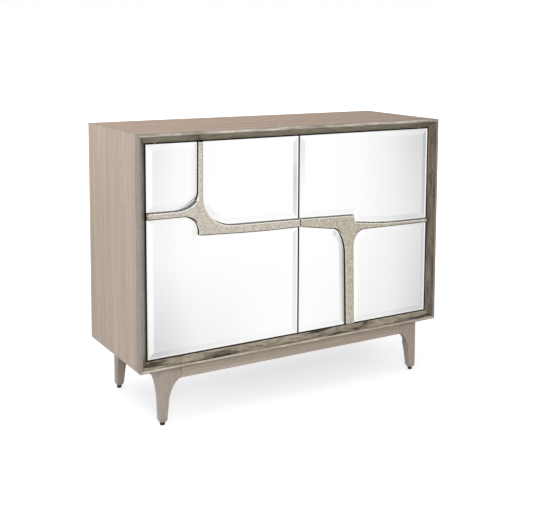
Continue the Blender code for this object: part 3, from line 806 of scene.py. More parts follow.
def rounded_rectangle(width: float, height: float, radius: float, steps: int = 5) -> np.ndarray:
    """A rectangle about the origin with round corners, anticlockwise.

    Args:
        width: its size along X.
        height: its size along Y.
        radius: the radius of its corners.
        steps: points along a corner.

    Returns:
        Its corners as (x, y).
    """
    angles = np.linspace(0, math.pi / 2, steps + 1)
    turns = np.concatenate([angles + k * math.pi / 2 for k in range(4)])
    side_x = np.repeat((1, -1, -1, 1), steps + 1) * (width / 2 - radius)
    side_y = np.repeat((1, 1, -1, -1), steps + 1) * (height / 2 - radius)
    return np.column_stack((side_x + radius * np.cos(turns), side_y + radius * np.sin(turns)))


def turned(profile: Sequence[Pair], steps: int) -> Shape:
    """A profile turned about Z: the point (r, z) at angle a goes to (r cos a, r sin a, z).

    Args:
        profile: (radius, height) points from one end to the other.
        steps: faces round it.

    Returns:
        The closed shape.
    """
    angles = np.linspace(0, 2 * math.pi, steps, endpoint=False)
    radius, height = np.array(profile, float).T
    x = radius[:, None] * np.cos(angles)
    y = radius[:, None] * np.sin(angles)
    return loft(np.stack(np.broadcast_arrays(x, y, height[:, None]), axis=-1))


def turned_ring(profile: Sequence[Pair], steps: int) -> Shape:
    """A closed profile turned about Z into a ring.

    Args:
        profile: (radius, height) points round the section.
        steps: faces round the ring.

    Returns:
        The closed shape.
    """
    shape = turned([*profile, profile[0]], steps)
    return Shape(shape.points, shape.faces[:-2], shape.finish[:-2])


def eased_profile(profile: Sequence[Pair], ease: float, steps: int = 3) -> list[Pair]:
    """A turned profile whose inner corners are rounded: each becomes the curve (1-t)^2 a + 2t(1-t) c + t^2 b,
    where a and b lie ease from the corner c on its two sides, or at half the side if that is less.

    Args:
        profile: (radius, height) points. The first and the last stay as they are.
        ease: how far the rounding reaches.
        steps: faces across a rounded corner.

    Returns:
        The points of the eased profile.
    """
    points = np.array(profile, float)
    made = [tuple(points[0])]
    for before, corner, after in zip(points, points[1:], points[2:]):
        back, ahead = before - corner, after - corner
        start = corner + back * min(0.5, ease / np.linalg.norm(back))
        end = corner + ahead * min(0.5, ease / np.linalg.norm(ahead))
        t = np.linspace(0, 1, steps + 1)[:, None]
        made.extend(map(tuple, (1 - t) ** 2 * start + 2 * t * (1 - t) * corner + t**2 * end))
    return [*made, tuple(points[-1])]


def bezier(points: Sequence[Any], steps: int) -> np.ndarray:
    """Points along a cubic Bezier curve, both ends included.

    Args:
        points: its start, two handles and end.
        steps: parts that it is cut into.

    Returns:
        The points, one a row.
    """
    start, first, second, end = (np.array(point, float) for point in points)
    t = np.linspace(0, 1, steps + 1)[:, None]
    return (1 - t) ** 3 * start + 3 * t * (1 - t) ** 2 * first + 3 * t**2 * (1 - t) * second + t**3 * end


def clean(mesh: bpy.types.Mesh, turn_out: bool) -> None:
    """Merges a mesh's doubled points and takes out its faces without area.

    Args:
        mesh: the mesh.
        turn_out: whether every face is turned outwards as well.
    """
    work = bmesh.new()
    work.from_mesh(mesh)
    bmesh.ops.remove_doubles(work, verts=work.verts, dist=WELD)
    bmesh.ops.dissolve_degenerate(work, edges=work.edges, dist=WELD / 2)
    if turn_out:
        bmesh.ops.recalc_face_normals(work, faces=work.faces)
    work.to_mesh(mesh)
    work.free()


def mesh_of(name: str, shape: Shape, finishes: Sequence[Finish]) -> bpy.types.Mesh:
    """Puts a shape into a mesh: doubled points are merged and every face is turned outwards.

    Args:
        name: the mesh's name.
        shape: the shape, one or more closed skins.
        finishes: what its faces wear.

    Returns:
        The mesh, with its finishes.
    """
    mesh = bpy.data.meshes.new(name)
    mesh.from_pydata(shape.points.tolist(), [], shape.faces)
    mesh.polygons.foreach_set("material_index", shape.finish)
    for finish in finishes:
        mesh.materials.append(finish.material())
    clean(mesh, True)
    return mesh


def combined(
    name: str, first: Shape, others: Sequence[Shape], operation: str, finishes: Sequence[Finish]
) -> bpy.types.Mesh:
    """One mesh from several shapes by Boolean operations.

    Args:
        name: the mesh's name.
        first: the shape to add to or cut.
        others: what is added or cut away.
        operation: UNION or DIFFERENCE.
        finishes: what the faces wear.

    Returns:
        The mesh, with its finishes.
    """
    scene = bpy.context.scene.collection.objects
    helpers = []
    for shape in (first, *others):
        helper = bpy.data.objects.new(f"{name} helper", mesh_of(name, shape, finishes))
        scene.link(helper)
        helpers.append(helper)
    for helper in helpers[1:]:
        step = helpers[0].modifiers.new(operation, "BOOLEAN")
        step.operation = operation
        step.object = helper
        step.solver = "EXACT"
    graph = bpy.context.evaluated_depsgraph_get()
    made = bpy.data.meshes.new_from_object(helpers[0].evaluated_get(graph))
    for helper in helpers:
        bpy.data.objects.remove(helper)
    clean(made, False)
    made.name = name
    return made


def settle(
    name: str,
    shape: Shape | bpy.types.Mesh,
    finishes: Sequence[Finish],
    body: str,
    nodes: Sequence[str],
    sharp: float = 32.0,
    weighted: bool = True,
) -> bpy.types.Object:
    """Makes a finished piece: shades it, hangs it on its body and lets it stand for its CAD nodes.

    Args:
        name: the piece's name.
        shape: its shape, or its mesh if that is made already.
        finishes: what its faces wear.
        body: the CAD body that it rides on.
        nodes: the CAD nodes that it stands for.
        sharp: edges that turn by more than this many degrees stay crisp.
        weighted: whether large faces keep their own direction where an eased edge meets them.

    Returns:
        The piece's object.
    """
    mesh = mesh_of(name, shape, finishes) if isinstance(shape, Shape) else shape
    mesh.shade_smooth()
    mesh.set_sharp_from_angle(angle=math.radians(sharp))
    piece = bpy.data.objects.new(name, mesh)
    bpy.context.scene.collection.objects.link(piece)
    if weighted:
        normals = piece.modifiers.new("Flat faces", "WEIGHTED_NORMAL")
        normals.keep_sharp = True
    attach(piece, body)
    if nodes:
        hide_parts(*nodes)
    LOG.info("%s: %d faces on %s", name, len(mesh.polygons), body)
    return piece


# Sub-assemblies


@dataclass
class Case:
    """The mitred case: four veneered boards, back, partition and shelves, with their small fittings."""

    width: float = 1219 * MM
    depth: float = 457 * MM
    bottom: float = 196 * MM
    top: float = 974 * MM
    board: float = 25 * MM
    board_start: float = 25.3 * MM
    arris: float = 0.9 * MM
    ease: float = 0.5 * MM
    inner_ease: float = 0.6 * MM
    shelf_ease: float = 1.0 * MM
    back_inset: float = 2 * MM
    back_thickness: float = 6 * MM
    rabbet: float = 10 * MM
    hole_radius: float = 2.8 * MM
    hole_depth: float = 7.8 * MM
    hole_pitch: float = 32 * MM
    holes_each_way: int = 2
    overrun: float = 5 * MM
    pin_peg: float = 2.5 * MM
    pin_peg_length: float = 7.5 * MM
    pin_head: float = 4.0 * MM
    pin_head_length: float = 7.0 * MM
    screw_pitch: float = 150 * MM
    screw_inset: float = 5 * MM
    screw: float = 3.4 * MM
    screw_rise: float = 1.6 * MM

    def build(self) -> None:
        """Builds every piece of the case."""
        self.boards()
        self.back()
        self.partition()
        self.shelves()

    @property
    def front(self) -> float:
        """Where the case's front plane is."""
        return -self.depth / 2

    @property
    def middle(self) -> float:
        """The height of the case's middle."""
        return (self.bottom + self.top) / 2

    def member(
        self, profile: np.ndarray, side: str, arris: float, bands: Sequence[int] | None = None
    ) -> Shape:
        """One side of a mitred box: a profile carried along it, with its ends cut at 45 degrees.

        Near an end the outer face curls in to the mitre: at angle a the row stands at the corner less
        arris (1 - sin a), and what lies nearer the face than arris (1 - cos a) is pressed in to there.

        Args:
            profile: (inward, depth) points round the member.
            side: top, bottom, left or right.
            arris: the radius of the case's outer edge.
            bands: the finish number of each stretch of the profile, 0 if left out.

        Returns:
            The member where it stands.
        """
        upright = side in ("left", "right")
        half = (self.top - self.bottom if upright else self.width) / 2
        angles = np.linspace(0, math.pi / 4, 4)
        rows = half - arris * (1 - np.sin(angles))
        pressed = arris * (1 - np.cos(angles))
        inward = np.maximum(profile[:, 0], pressed[:, None])
        mitre = half - SEAT_GAP / math.sqrt(2) - inward
        along = np.minimum(rows[:, None], mitre)
        inward = np.concatenate((inward[::-1], inward))
        along = np.concatenate((-along[::-1], along))
        depth = np.broadcast_to(self.front + profile[:, 1], along.shape)
        sides = {
            "top": (along, depth, self.top - inward),
            "bottom": (along, depth, self.bottom + inward),
            "left": (inward - self.width / 2, depth, self.middle + along),
            "right": (self.width / 2 - inward, depth, self.middle + along),
        }
        shape = loft(np.stack(sides[side], axis=-1))
        if bands is not None:
            rows_of_faces = len(along) - 1
            shape.finish[: rows_of_faces * len(profile)] = list(bands) * rows_of_faces
        return shape

    def board_profile(self) -> np.ndarray:
        """A board's section, with eased front edges and a rabbet for the back.

        Returns:
            (inward, depth) points round it. The outer face lies at inward zero.
        """
        e, start = self.ease, self.board_start
        lip = self.board - self.rabbet
        seat = self.depth - self.back_inset - self.back_thickness - SEAT_GAP
        front = [(0, start + e), (e * 0.3, start + e * 0.3), (e, start)]
        inner = [(self.board - e, start), (self.board - e * 0.3, start + e * 0.3), (self.board, start + e)]
        rabbet = [(self.board, seat), (lip, seat), (lip, self.depth - e), (lip - e, self.depth)]
        rear = [(e, self.depth), (e * 0.3, self.depth - e * 0.3), (0, self.depth - e)]
        return np.array([*front, *inner, *rabbet, *rear])

    def pin_places(self) -> list[Pair]:
        """Places the shelf pins' holes.

        Returns:
            (y, z) of each hole, the pair in use first.
        """
        low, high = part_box("left_outer_front_shelf_pin")
        _, rear_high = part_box("left_outer_rear_shelf_pin")
        front, seat = (low.y + high.y) / 2, (low.z + high.z) / 2
        rear = rear_high.y - self.pin_head
        order = sorted(range(-self.holes_each_way, self.holes_each_way + 1), key=abs)
        return [(y, seat + step * self.hole_pitch) for step in order for y in (front, rear)]

    def drills(self, start: float, length: float) -> list[Shape]:
        """Cutters for the rows of pin holes.

        Args:
            start: where along X each begins.
            length: how long each is.

        Returns:
            One cylinder for each hole.
        """
        profile = [(0, 0), (self.hole_radius, 0), (self.hole_radius, length), (0, length)]
        lying = Matrix.Rotation(math.pi / 2, 4, "Y")
        drill = turned(profile, 20)
        return [drill.moved(Matrix.Translation((start, y, z)) @ lying) for y, z in self.pin_places()]

    def boards(self) -> None:
        """Builds the four mitred boards. The sides are drilled for the shelf pins."""
        wall = self.width / 2 - self.board
        names = {"top": "top_board", "bottom": "bottom_board", "left": "left_side", "right": "right_side"}
        walls = {"left": -wall, "right": wall}
        for side, name in names.items():
            finish = VENEER_UPRIGHT if side in walls else VENEER_ACROSS
            made: Shape | bpy.types.Mesh = self.member(self.board_profile(), side, self.arris)
            if side in walls:
                drills = self.drills(walls[side] - self.hole_depth, 2 * self.hole_depth)
                made = combined(name, made, drills, "DIFFERENCE", [finish])
            settle(name, made, [finish], "case", [f"{side}_panel"])

    def back(self) -> None:
        """Builds the back board and the screws round it."""
        low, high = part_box("back_panel")
        board = grown_box(low, high, self.inner_ease)
        settle("back_board", board, [BACK_BOARD], "case", ["back_panel"])
        screw = screw_head(self.screw, self.screw_rise)
        facing_back = Matrix.Rotation(-math.pi / 2, 4, "X")
        inset, pitch = self.screw_inset, self.screw_pitch
        across = np.linspace(low.x + inset, high.x - inset, round((high.x - low.x) / pitch) + 1)
        up = np.linspace(low.z + inset, high.z - inset, round((high.z - low.z) / pitch) + 1)
        places = [(x, z) for x in across for z in (up[0], up[-1])]
        places += [(x, z) for x in (across[0], across[-1]) for z in up[1:-1]]
        places += [(0.0, z) for z in up[1:-1]]
        shapes = [screw.moved(Matrix.Translation((x, high.y, z)) @ facing_back) for x, z in places]
        settle("back_board_screws", sum(shapes[1:], shapes[0]), [ZINC], "case", [])

    def partition(self) -> None:
        """Builds the centre partition, drilled right through for the shelf pins."""
        low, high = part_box("centre_partition")
        drills = self.drills(low.x - self.overrun, high.x - low.x + 2 * self.overrun)
        board = grown_box(low, high, self.inner_ease)
        finishes = [VENEER_UPRIGHT]
        mesh = combined("partition", board, drills, "DIFFERENCE", finishes)
        settle("partition", mesh, finishes, "case", ["centre_partition"])

    def shelves(self) -> None:
        """Builds the two shelves and the pins that they lie on."""
        head = [(0, self.pin_head_length), (self.pin_head, self.pin_head_length), (self.pin_head, SEAT_GAP)]
        peg = [(self.pin_peg, SEAT_GAP), (self.pin_peg, -self.pin_peg_length), (0, -self.pin_peg_length)]
        pin = turned(eased_profile([*head, *peg], self.inner_ease), 28)
        for side, sign in (("left", -1), ("right", 1)):
            low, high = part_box(f"{side}_shelf")
            shelf = grown_box(low, high, self.shelf_ease)
            settle(f"{side}_shelf_board", shelf, [VENEER_ACROSS], "case", [f"{side}_shelf"])
            for wall, inward in (("outer", -sign), ("inner", sign)):
                for depth in ("front", "rear"):
                    node = f"{side}_{wall}_{depth}_shelf_pin"
                    low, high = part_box(node)
                    seat = high.x - self.pin_head_length if inward > 0 else low.x + self.pin_head_length
                    where = Vector((seat, (low.y + high.y) / 2, (low.z + high.z) / 2))
                    turn = Matrix.Rotation(inward * math.pi / 2, 4, "Y")
                    shape = pin.moved(Matrix.Translation(where) @ turn)
                    settle(f"{node}_turned", shape, [ZINC], "case", [node])


def screw_head(radius: float, rise: float) -> Shape:
    """A pan-head screw's head with a cross recess, standing on height zero.

    The head is an ellipse turned about Z, and the recess presses down the points of its crown that lie
    within the arms of a cross.

    Args:
        radius: the head's radius.
        rise: the head's height.

    Returns:
        The closed shape.
    """
    around, rings = 32, 9
    # The recess's arm and reach as shares of the radius, and its depth as a share of the rise
    arm, reach, sunk = 0.14, 0.62, 0.55
    angles = np.linspace(0, 2 * math.pi, around, endpoint=False)
    share = np.linspace(0, math.pi / 2, rings)
    radii = np.concatenate(([radius], radius * np.cos(share) ** 0.8))
    heights = np.concatenate(([0.0], rise * (0.35 + 0.65 * np.sin(share))))
    x = radii[:, None] * np.cos(angles)
    y = radii[:, None] * np.sin(angles)
    pressed = (np.minimum(np.abs(x), np.abs(y)) < radius * arm) & (np.hypot(x, y) < radius * reach)
    z = np.broadcast_to(heights[:, None], x.shape) - sunk * rise * pressed
    return loft(np.stack((x, y, z), axis=-1))


@dataclass(frozen=True)
class MemberTones:
    """The tones of one member of the moulding.

    They are its outer side, its lip with the lip's clouds, the leaf and its clouds in the hollow, how dark
    the glaze is, in part painted shade, and how far from the case's edge it starts and is full, how dark the
    stains are, how far the clouds are drawn out, and the share of the lip, from its inner edge, that wears
    the lip's own tones. The members' tones differ in part as painted light and shade.
    """

    outer: str
    lip: str
    lip_cloud: str
    leaf: str
    cloud: str
    glaze: float
    glaze_from: float
    glaze_to: float
    stained: float
    drawn: float
    bright_share: float


# Painted light and shade in the members' tones: the right member is darker all over, the top's hollow, which
# looks down, is darker and the bottom's, which looks up, paler, and the pale lips of the top and bottom are
# painted highlight.
MOULDING_TONES = {
    "top": MemberTones(
        "#aea29c", "#e4dacb", "#a3988a", "#9a927d", "#7d7562", 0.35, 22 * MM, 31 * MM, 0.0, 1.0, 1.0
    ),
    "bottom": MemberTones(
        "#a99d8f", "#eaddc9", "#b3a797", "#d6cab4", "#ada08a", 0.25, 17 * MM, 10 * MM, 0.85, 0.45, 0.7
    ),
    "left": MemberTones(
        "#a69b9d", "#a59b8e", "#a3988a", "#b9b19d", "#96907f", 0.92, 19 * MM, 30 * MM, 0.3, 1.0, 1.0
    ),
    "right": MemberTones(
        "#8f8478", "#a09588", "#a3988a", "#8b7d6e", "#665a4e", 0.4, 18 * MM, 10 * MM, 0.5, 1.0, 0.4
    ),
}
# The clouds and the grounds that all four members share
SIDE_CLOUD = "#988d86"
SIDE_GROUND = "#857a70"
LIP_GROUND = "#857967"
HOLLOW_GROUND = "#2f2b22"


@dataclass
class FrontMoulding:
    """The leafed moulding round the doors: a flat lip, then a hollow that falls back to them."""

    case: Case
    face: float = 31 * MM
    depth: float = 25 * MM
    lip: float = 9.5 * MM
    lip_ease: float = 1.2 * MM
    slope_depth: float = 22 * MM
    sag: float = 2.2 * MM
    cove_steps: int = 22

    def profile(self, bright_share: float) -> tuple[np.ndarray, list[int]]:
        """The moulding's section, and which finish each stretch of it wears.

        The hollow is a straight run from the lip's inner edge to the back, moved in by 4 sag t (1 - t).

        Args:
            bright_share: the share of the lip, from its inner edge, that wears the lip's own tones, not the
                side's.

        Returns:
            (inward, depth) points, and 0 for the outer side, 1 for the lip, 2 for the hollow and 3 for the
            return behind it, which is black as painted shadow.
        """
        turn = np.linspace(0, math.pi / 2, 5)
        outer = self.lip_ease * np.column_stack((1 - np.cos(turn), 1 - np.sin(turn)))
        inner_start = np.array((self.lip - self.lip_ease, 0.0))
        inner_end = np.array((self.lip, self.lip_ease / 2))
        t = np.linspace(0, 1, 4)[1:-1, None]
        corner = np.array((self.lip - self.lip_ease * 0.2, 0.0))
        eased = (1 - t) ** 2 * inner_start + 2 * t * (1 - t) * corner + t**2 * inner_end
        run = np.array((self.face, self.slope_depth)) - inner_end
        hollow = np.array((-run[1], run[0])) / np.linalg.norm(run)
        s = np.linspace(0, 1, self.cove_steps + 1)[:, None]
        cove = inner_end + s * run + 4 * self.sag * s * (1 - s) * hollow
        border = outer[-1] + (inner_start - outer[-1]) * max(1 - bright_share, 0.02)
        ends = [(self.face, self.depth), (0.0, self.depth)]
        points = np.concatenate((outer, border[None], inner_start[None], eased, cove, ends))
        edge = 0 if bright_share < 1 else 1
        bands = [edge] * len(outer) + [1] * (len(eased) + 2) + [2] * self.cove_steps + [3, 3, 0]
        return points, bands

    def build(self) -> None:
        """Builds the four members, each leafed along its own run."""
        for side, tones in MOULDING_TONES.items():
            name = f"moulding_{side}"
            points, bands = self.profile(tones.bright_share)
            upright = side in ("left", "right")
            run = Axis.UPRIGHT if upright else Axis.ACROSS
            half = (self.case.width if upright else self.case.top - self.case.bottom) / 2
            outer = SilverLeaf(
                f"Silver leaf side {side}", run, tones.outer, SIDE_CLOUD, SIDE_GROUND, 0.2, 0.55, 0.7
            )
            lip = SilverLeaf(
                f"Silver leaf lip {side}", run, tones.lip, tones.lip_cloud, LIP_GROUND, 0.45, 0.4, 0.66
            )
            middle = 0.0 if upright else self.case.middle
            hollow = SilverLeaf(
                f"Silver leaf hollow {side}",
                run,
                tones.leaf,
                tones.cloud,
                HOLLOW_GROUND,
                pooled=tones.glaze,
                middle=middle,
                pool=(half - tones.glaze_from, half - tones.glaze_to),
                stained=tones.stained,
                drawn=tones.drawn,
            )
            finishes = [outer, lip, hollow, SHADOW_PAINT]
            shape = self.case.member(points, side, self.lip_ease, bands)
            settle(name, shape, finishes, "case", [f"frame_{side}"], 40.0)


class Side(Enum):
    """A door's side, with the sign of X there."""

    LEFT = -1
    RIGHT = 1

    @property
    def word(self) -> str:
        """The side's name as it stands in node names."""
        return self.name.lower()


# Overlay outlines, anticlockwise from the front. Each corner is its place across and up the door, then how
# far its curve reaches back along the edge before it and forward along the edge after it, as shares of the
# door's width, height, height and height.
LEFT_OVERLAY_SHARES = (
    (0.3196, 1.0000, 0.0, 0.0),
    (0.3162, 0.6841, 0.078, 0.120),
    (0.0000, 0.6869, 0.0, 0.0),
    (0.0000, 0.6551, 0.0, 0.0),
    (0.3202, 0.6537, 0.085, 0.080),
    (0.3223, 0.5596, 0.003, 0.003),
    (0.7066, 0.5456, 0.085, 0.085),
    (1.0000, 0.5441, 0.0, 0.0),
    (1.0000, 0.5856, 0.0, 0.0),
    (0.6279, 0.5927, 0.056, 0.056),
    (0.3424, 0.5980, 0.162, 0.148),
    (0.3450, 1.0000, 0.0, 0.0),
)
RIGHT_OVERLAY_SHARES = (
    (0.0000, 0.5856, 0.0, 0.0),
    (0.0000, 0.5444, 0.0, 0.0),
    (0.3359, 0.5023, 0.073, 0.132),
    (0.3523, 0.0000, 0.0, 0.0),
    (0.4087, 0.0000, 0.0, 0.0),
    (0.3953, 0.4953, 0.085, 0.073),
    (1.0000, 0.4901, 0.0, 0.0),
    (1.0000, 0.5109, 0.0, 0.0),
    (0.6253, 0.5148, 0.099, 0.099),
    (0.4061, 0.5367, 0.025, 0.020),
    (0.3974, 0.5752, 0.003, 0.003),
)
# Each mirror's outline: a run of the overlay's corners, taken the other way round, then the door's corners
LEFT_PANES = {
    "upper_outer": ((0, 1, 2), (("left", "top"),)),
    "upper_inner": ((8, 9, 10, 11), (("right", "top"),)),
    "lower": ((3, 4, 5, 6, 7), (("left", "bottom"), ("right", "bottom"))),
}
RIGHT_PANES = {
    "upper": ((7, 8, 9, 10, 0), (("right", "top"), ("left", "top"))),
    "lower_inner": ((1, 2, 3), (("left", "bottom"),)),
    "lower_outer": ((4, 5, 6), (("right", "bottom"),)),
}


# A curve on an outline keeps at least this reach when the outline moves in
LEAST_REACH = 1 * MM


def softened(corners: np.ndarray, inset: float, turn_step: float) -> np.ndarray:
    """Points along a closed outline whose corners are curves, moved inwards by inset.

    A curve is a Bezier between its two reaches, with handles of 4/3 tan(turn/4) / tan(turn/2) of them, which
    make a quarter ellipse at a square corner. A corner that turns left loses inset tan(turn/2) of its reach.

    Args:
        corners: (x, z, reach before, reach after) rows, anticlockwise.
        inset: how far the outline moves in.
        turn_step: a curve gets a point for each such angle of turn.

    Returns:
        The outline's points as (x, z), as many at every inset.
    """
    places, reaches = corners[:, :2], corners[:, 2:]
    edges = np.roll(places, -1, axis=0) - places
    ways = edges / np.linalg.norm(edges, axis=1)[:, None]
    inwards = np.stack((-ways[:, 1], ways[:, 0]), axis=1)
    points = []
    for i, corner in enumerate(places):
        before, after = ways[i - 1], ways[i]
        turn = math.atan2(before[0] * after[1] - before[1] * after[0], float(before @ after))
        shift = (inwards[i - 1] + inwards[i]) / (1 + float(inwards[i - 1] @ inwards[i]))
        peak = corner + inset * shift
        if not reaches[i].any():
            points.append(peak[None])
            continue
        eaten = inset * math.tan(turn / 2) if turn > 0 else 0.0
        back, ahead = np.maximum(reaches[i] - eaten, min(LEAST_REACH, *reaches[i]))
        handle = 4 / 3 * math.tan(abs(turn) / 4) / math.tan(abs(turn) / 2)
        steps = max(2, math.ceil(abs(turn) / turn_step))
        start, end = peak - back * before, peak + ahead * after
        handles = (start + handle * back * before, end - handle * ahead * after)
        points.append(bezier((start, *handles, end), steps))
    return np.concatenate(points)


def filled_in(rings: list[np.ndarray], spacing: float) -> list[np.ndarray]:
    """Puts more points on the straight runs of some matching rings, the same number on each.

    Args:
        rings: outlines with as many points each.
        spacing: the widest step allowed on the first ring.

    Returns:
        The rings with their added points.
    """
    gaps = np.linalg.norm(np.roll(rings[0], -1, axis=0) - rings[0], axis=1)
    parts = np.maximum(1, np.ceil(gaps / spacing)).astype(int)
    start = np.repeat(np.arange(len(parts)), parts)
    share = np.concatenate([np.arange(n) / n for n in parts])[:, None]
    return [ring[start] * (1 - share) + np.roll(ring, -1, axis=0)[start] * share for ring in rings]


def cell_distance(x: np.ndarray, z: np.ndarray, pitch: float, seed: int) -> np.ndarray:
    """How far each place is from the nearest of scattered centres, as a share of their pitch.

    The centres are a square lattice of that pitch, each moved at random within its own square. Of the nine
    squares round a place, the nearest centre counts.

    Args:
        x: places across.
        z: places up.
        pitch: the lattice's pitch.
        seed: which scatter.

    Returns:
        The distances.
    """
    side = 64
    scatter = np.random.default_rng(seed).random((side, side, 2))
    across, up = x / pitch, z / pitch
    column, row = np.floor(across).astype(int), np.floor(up).astype(int)
    nearest = np.full(x.shape, np.inf)
    for i in (-1, 0, 1):
        for j in (-1, 0, 1):
            offset = scatter[(column + i) % side, (row + j) % side]
            far = np.hypot(column + i + offset[..., 0] - across, row + j + offset[..., 1] - up)
            nearest = np.minimum(nearest, far)
    return nearest


# The casting's finishes from its wall to the rim's top: 0 plating, 1 painted shade in the metal's dark
# tones, 2 polished wall painted light. A stretch of its outline takes the first row whose angle in degrees
# is no greater than the way it faces, counted from straight left at 0 to straight up at 90, so the dark and
# pale bands are shade and light painted by the way a stretch faces.
RIM_PATTERNS = [
    (125, [2, 2, 2, 0, 0, 0, 0, 0]),
    (38, [2, 1, 1, 1, 1, 0, 0, 0]),
    (-38, [1, 2, 0, 0, 0, 0, 0, 0]),
    (-50, [2, 2, 1, 1, 1, 1, 0, 0]),
    (-125, [2, 1, 1, 1, 1, 1, 0, 0]),
    (-180, [2, 2, 1, 0, 0, 0, 0, 0]),
]


@dataclass
class Casting:
    """A cast overlay: a plate cut to a branching outline, round at its rims and peened over its face."""

    corners: np.ndarray
    side: Side
    door_outer: float
    door_inner: float
    face: float = -219.0 * MM
    seat: float = -201.5 * MM
    rim: float = 2.6 * MM
    rim_across: float = 6.0 * MM
    end_ease: float = 0.8 * MM
    end_run: float = 6 * MM
    end_drop: float = 9 * MM
    peen_pitch: float = 5.0 * MM
    peen_depth: float = 0.22 * MM
    swell: float = 0.12 * MM
    line_depth: float = 3.8 * MM
    line_depth_up: float = 2.2 * MM
    spacing: float = 1.9 * MM
    turn_step: float = math.radians(4)

    def peened(self, x: np.ndarray, z: np.ndarray) -> np.ndarray:
        """How deep the hammer's bowls lie: depth (1 - (distance / reach)^2), and a slow swell of the plate.

        Args:
            x: places across.
            z: places up.

        Returns:
            The depth below the plate's highest level.
        """
        near = cell_distance(x, z, self.peen_pitch, 11 + self.side.value)
        bowls = self.peen_depth * (1 - np.minimum(near / 0.75, 1) ** 2)
        slow = 0.5 + 0.5 * np.sin(x / (31 * MM) + 1.3 * np.sin(z / (23 * MM)))
        return bowls * (0.6 + 0.4 * slow) + self.swell * slow

    def facing(self, outline: np.ndarray) -> tuple[np.ndarray, np.ndarray]:
        """Which way each place of an outline faces.

        Args:
            outline: the outline's points as (x, z), anticlockwise.

        Returns:
            How far each place faces to the right, and how far up, from -1 to 1.
        """
        ahead = np.roll(outline, -1, axis=0) - np.roll(outline, 1, axis=0)
        ahead = ahead / np.linalg.norm(ahead, axis=1)[:, None]
        return ahead[:, 1], -ahead[:, 0]

    def worn(self, outline: np.ndarray, bands: int) -> np.ndarray:
        """Which finish each face of the skin wears: 0 plating, 1 painted shade, 2 polished wall painted
        light.

        Which of them lies where depends on the way that a wall faces, as RIM_PATTERNS says.

        Args:
            outline: the plate's outline as (x, z).
            bands: how many bands of faces the skin has from its seat to the rim's top.

        Returns:
            The finish of each face, band by band.
        """
        right, up = self.facing(outline)
        right, up = (0.5 * (way + np.roll(way, -1)) for way in (right, up))
        angle = np.degrees(np.arctan2(up, -right))
        patterns = np.array([pattern for _, pattern in RIM_PATTERNS])
        row = np.select([angle >= start for start, _ in RIM_PATTERNS], range(len(patterns)))
        return patterns[row, :bands].T.ravel()

    def rings(self) -> tuple[np.ndarray, np.ndarray]:
        """The plate's skin from its seat to the rim's top.

        At angle a the rim is drawn in by rim_across (1 - cos a) and lies rim (1 - sin a) behind the face.
        The wall's upper band reaches down by line_depth, and by line_depth_up where it faces straight up.

        Returns:
            The rings as (ring, point, xyz), and the last ring as (x, z).
        """
        angles = np.linspace(0, math.pi / 2, 7)
        insets = self.rim_across * (1 - np.cos(angles))
        outlines = [softened(self.corners, inset, self.turn_step) for inset in insets]
        outlines = filled_in([outlines[0], outlines[0], *outlines], self.spacing)
        up = np.maximum(self.facing(outlines[0])[1], 0)
        line = self.rim + self.line_depth * (1 - up) + self.line_depth_up * up
        drops = [self.seat - self.face, line, *self.rim * (1 - np.sin(angles))]
        rings = []
        sign = self.side.value
        for outline, inset, drop, angle in zip(outlines, (0, 0, *insets), drops, (0, 0, *angles)):
            x, z = outline.T
            for edge, inward in ((self.door_inner, sign), (self.door_outer, -sign)):
                on_end = np.abs(x - (edge + inward * inset)) < WELD
                x = np.where(on_end, edge + inward * inset * self.end_ease / self.rim_across, x)
            y = self.face + drop + math.sin(angle) * self.peened(x, z)
            rings.append(np.column_stack((x, y, z)))
        return np.stack(rings), rings[-1][:, [0, 2]]

    def build(self) -> Shape:
        """Builds the plate: its skin, and a face of small triangles inside the last ring.

        Returns:
            The closed shape.
        """
        rings, inner = self.rings()
        bands = len(rings) - 1
        skin = loft(rings, [0] * bands)
        at_end = np.tile(np.abs(rings[0, :, 0] - self.door_inner) < 2 * MM, bands)
        worn = np.where(at_end, 0, self.worn(rings[0][:, [0, 2]], bands))
        skin.finish = [*worn.tolist(), 0, 0]
        skin.faces.pop()
        skin.finish.pop()
        spread = [Vector(point) for point in (*inner, *self.scattered(inner))]
        found = delaunay_2d_cdt(spread, [], [list(range(len(inner)))], 1, WELD / 10)
        flat = np.array([tuple(point) for point in found[0]])
        x, z = flat.T
        cap = np.column_stack((x, self.face + self.peened(x, z), z))
        whole = skin + Shape(cap, [list(face) for face in found[2]], [0] * len(found[2]))
        whole.points[:, 1] = np.maximum(whole.points[:, 1], self.sloped(whole.points[:, 0]))
        return whole

    def sloped(self, x: np.ndarray) -> np.ndarray:
        """The slope that clears the frame at the door's outer edge: it falls end_drop over end_run."""
        beyond = np.abs(x) - (abs(self.door_outer) - self.end_run)
        return self.face + np.maximum(beyond, 0) * self.end_drop / self.end_run

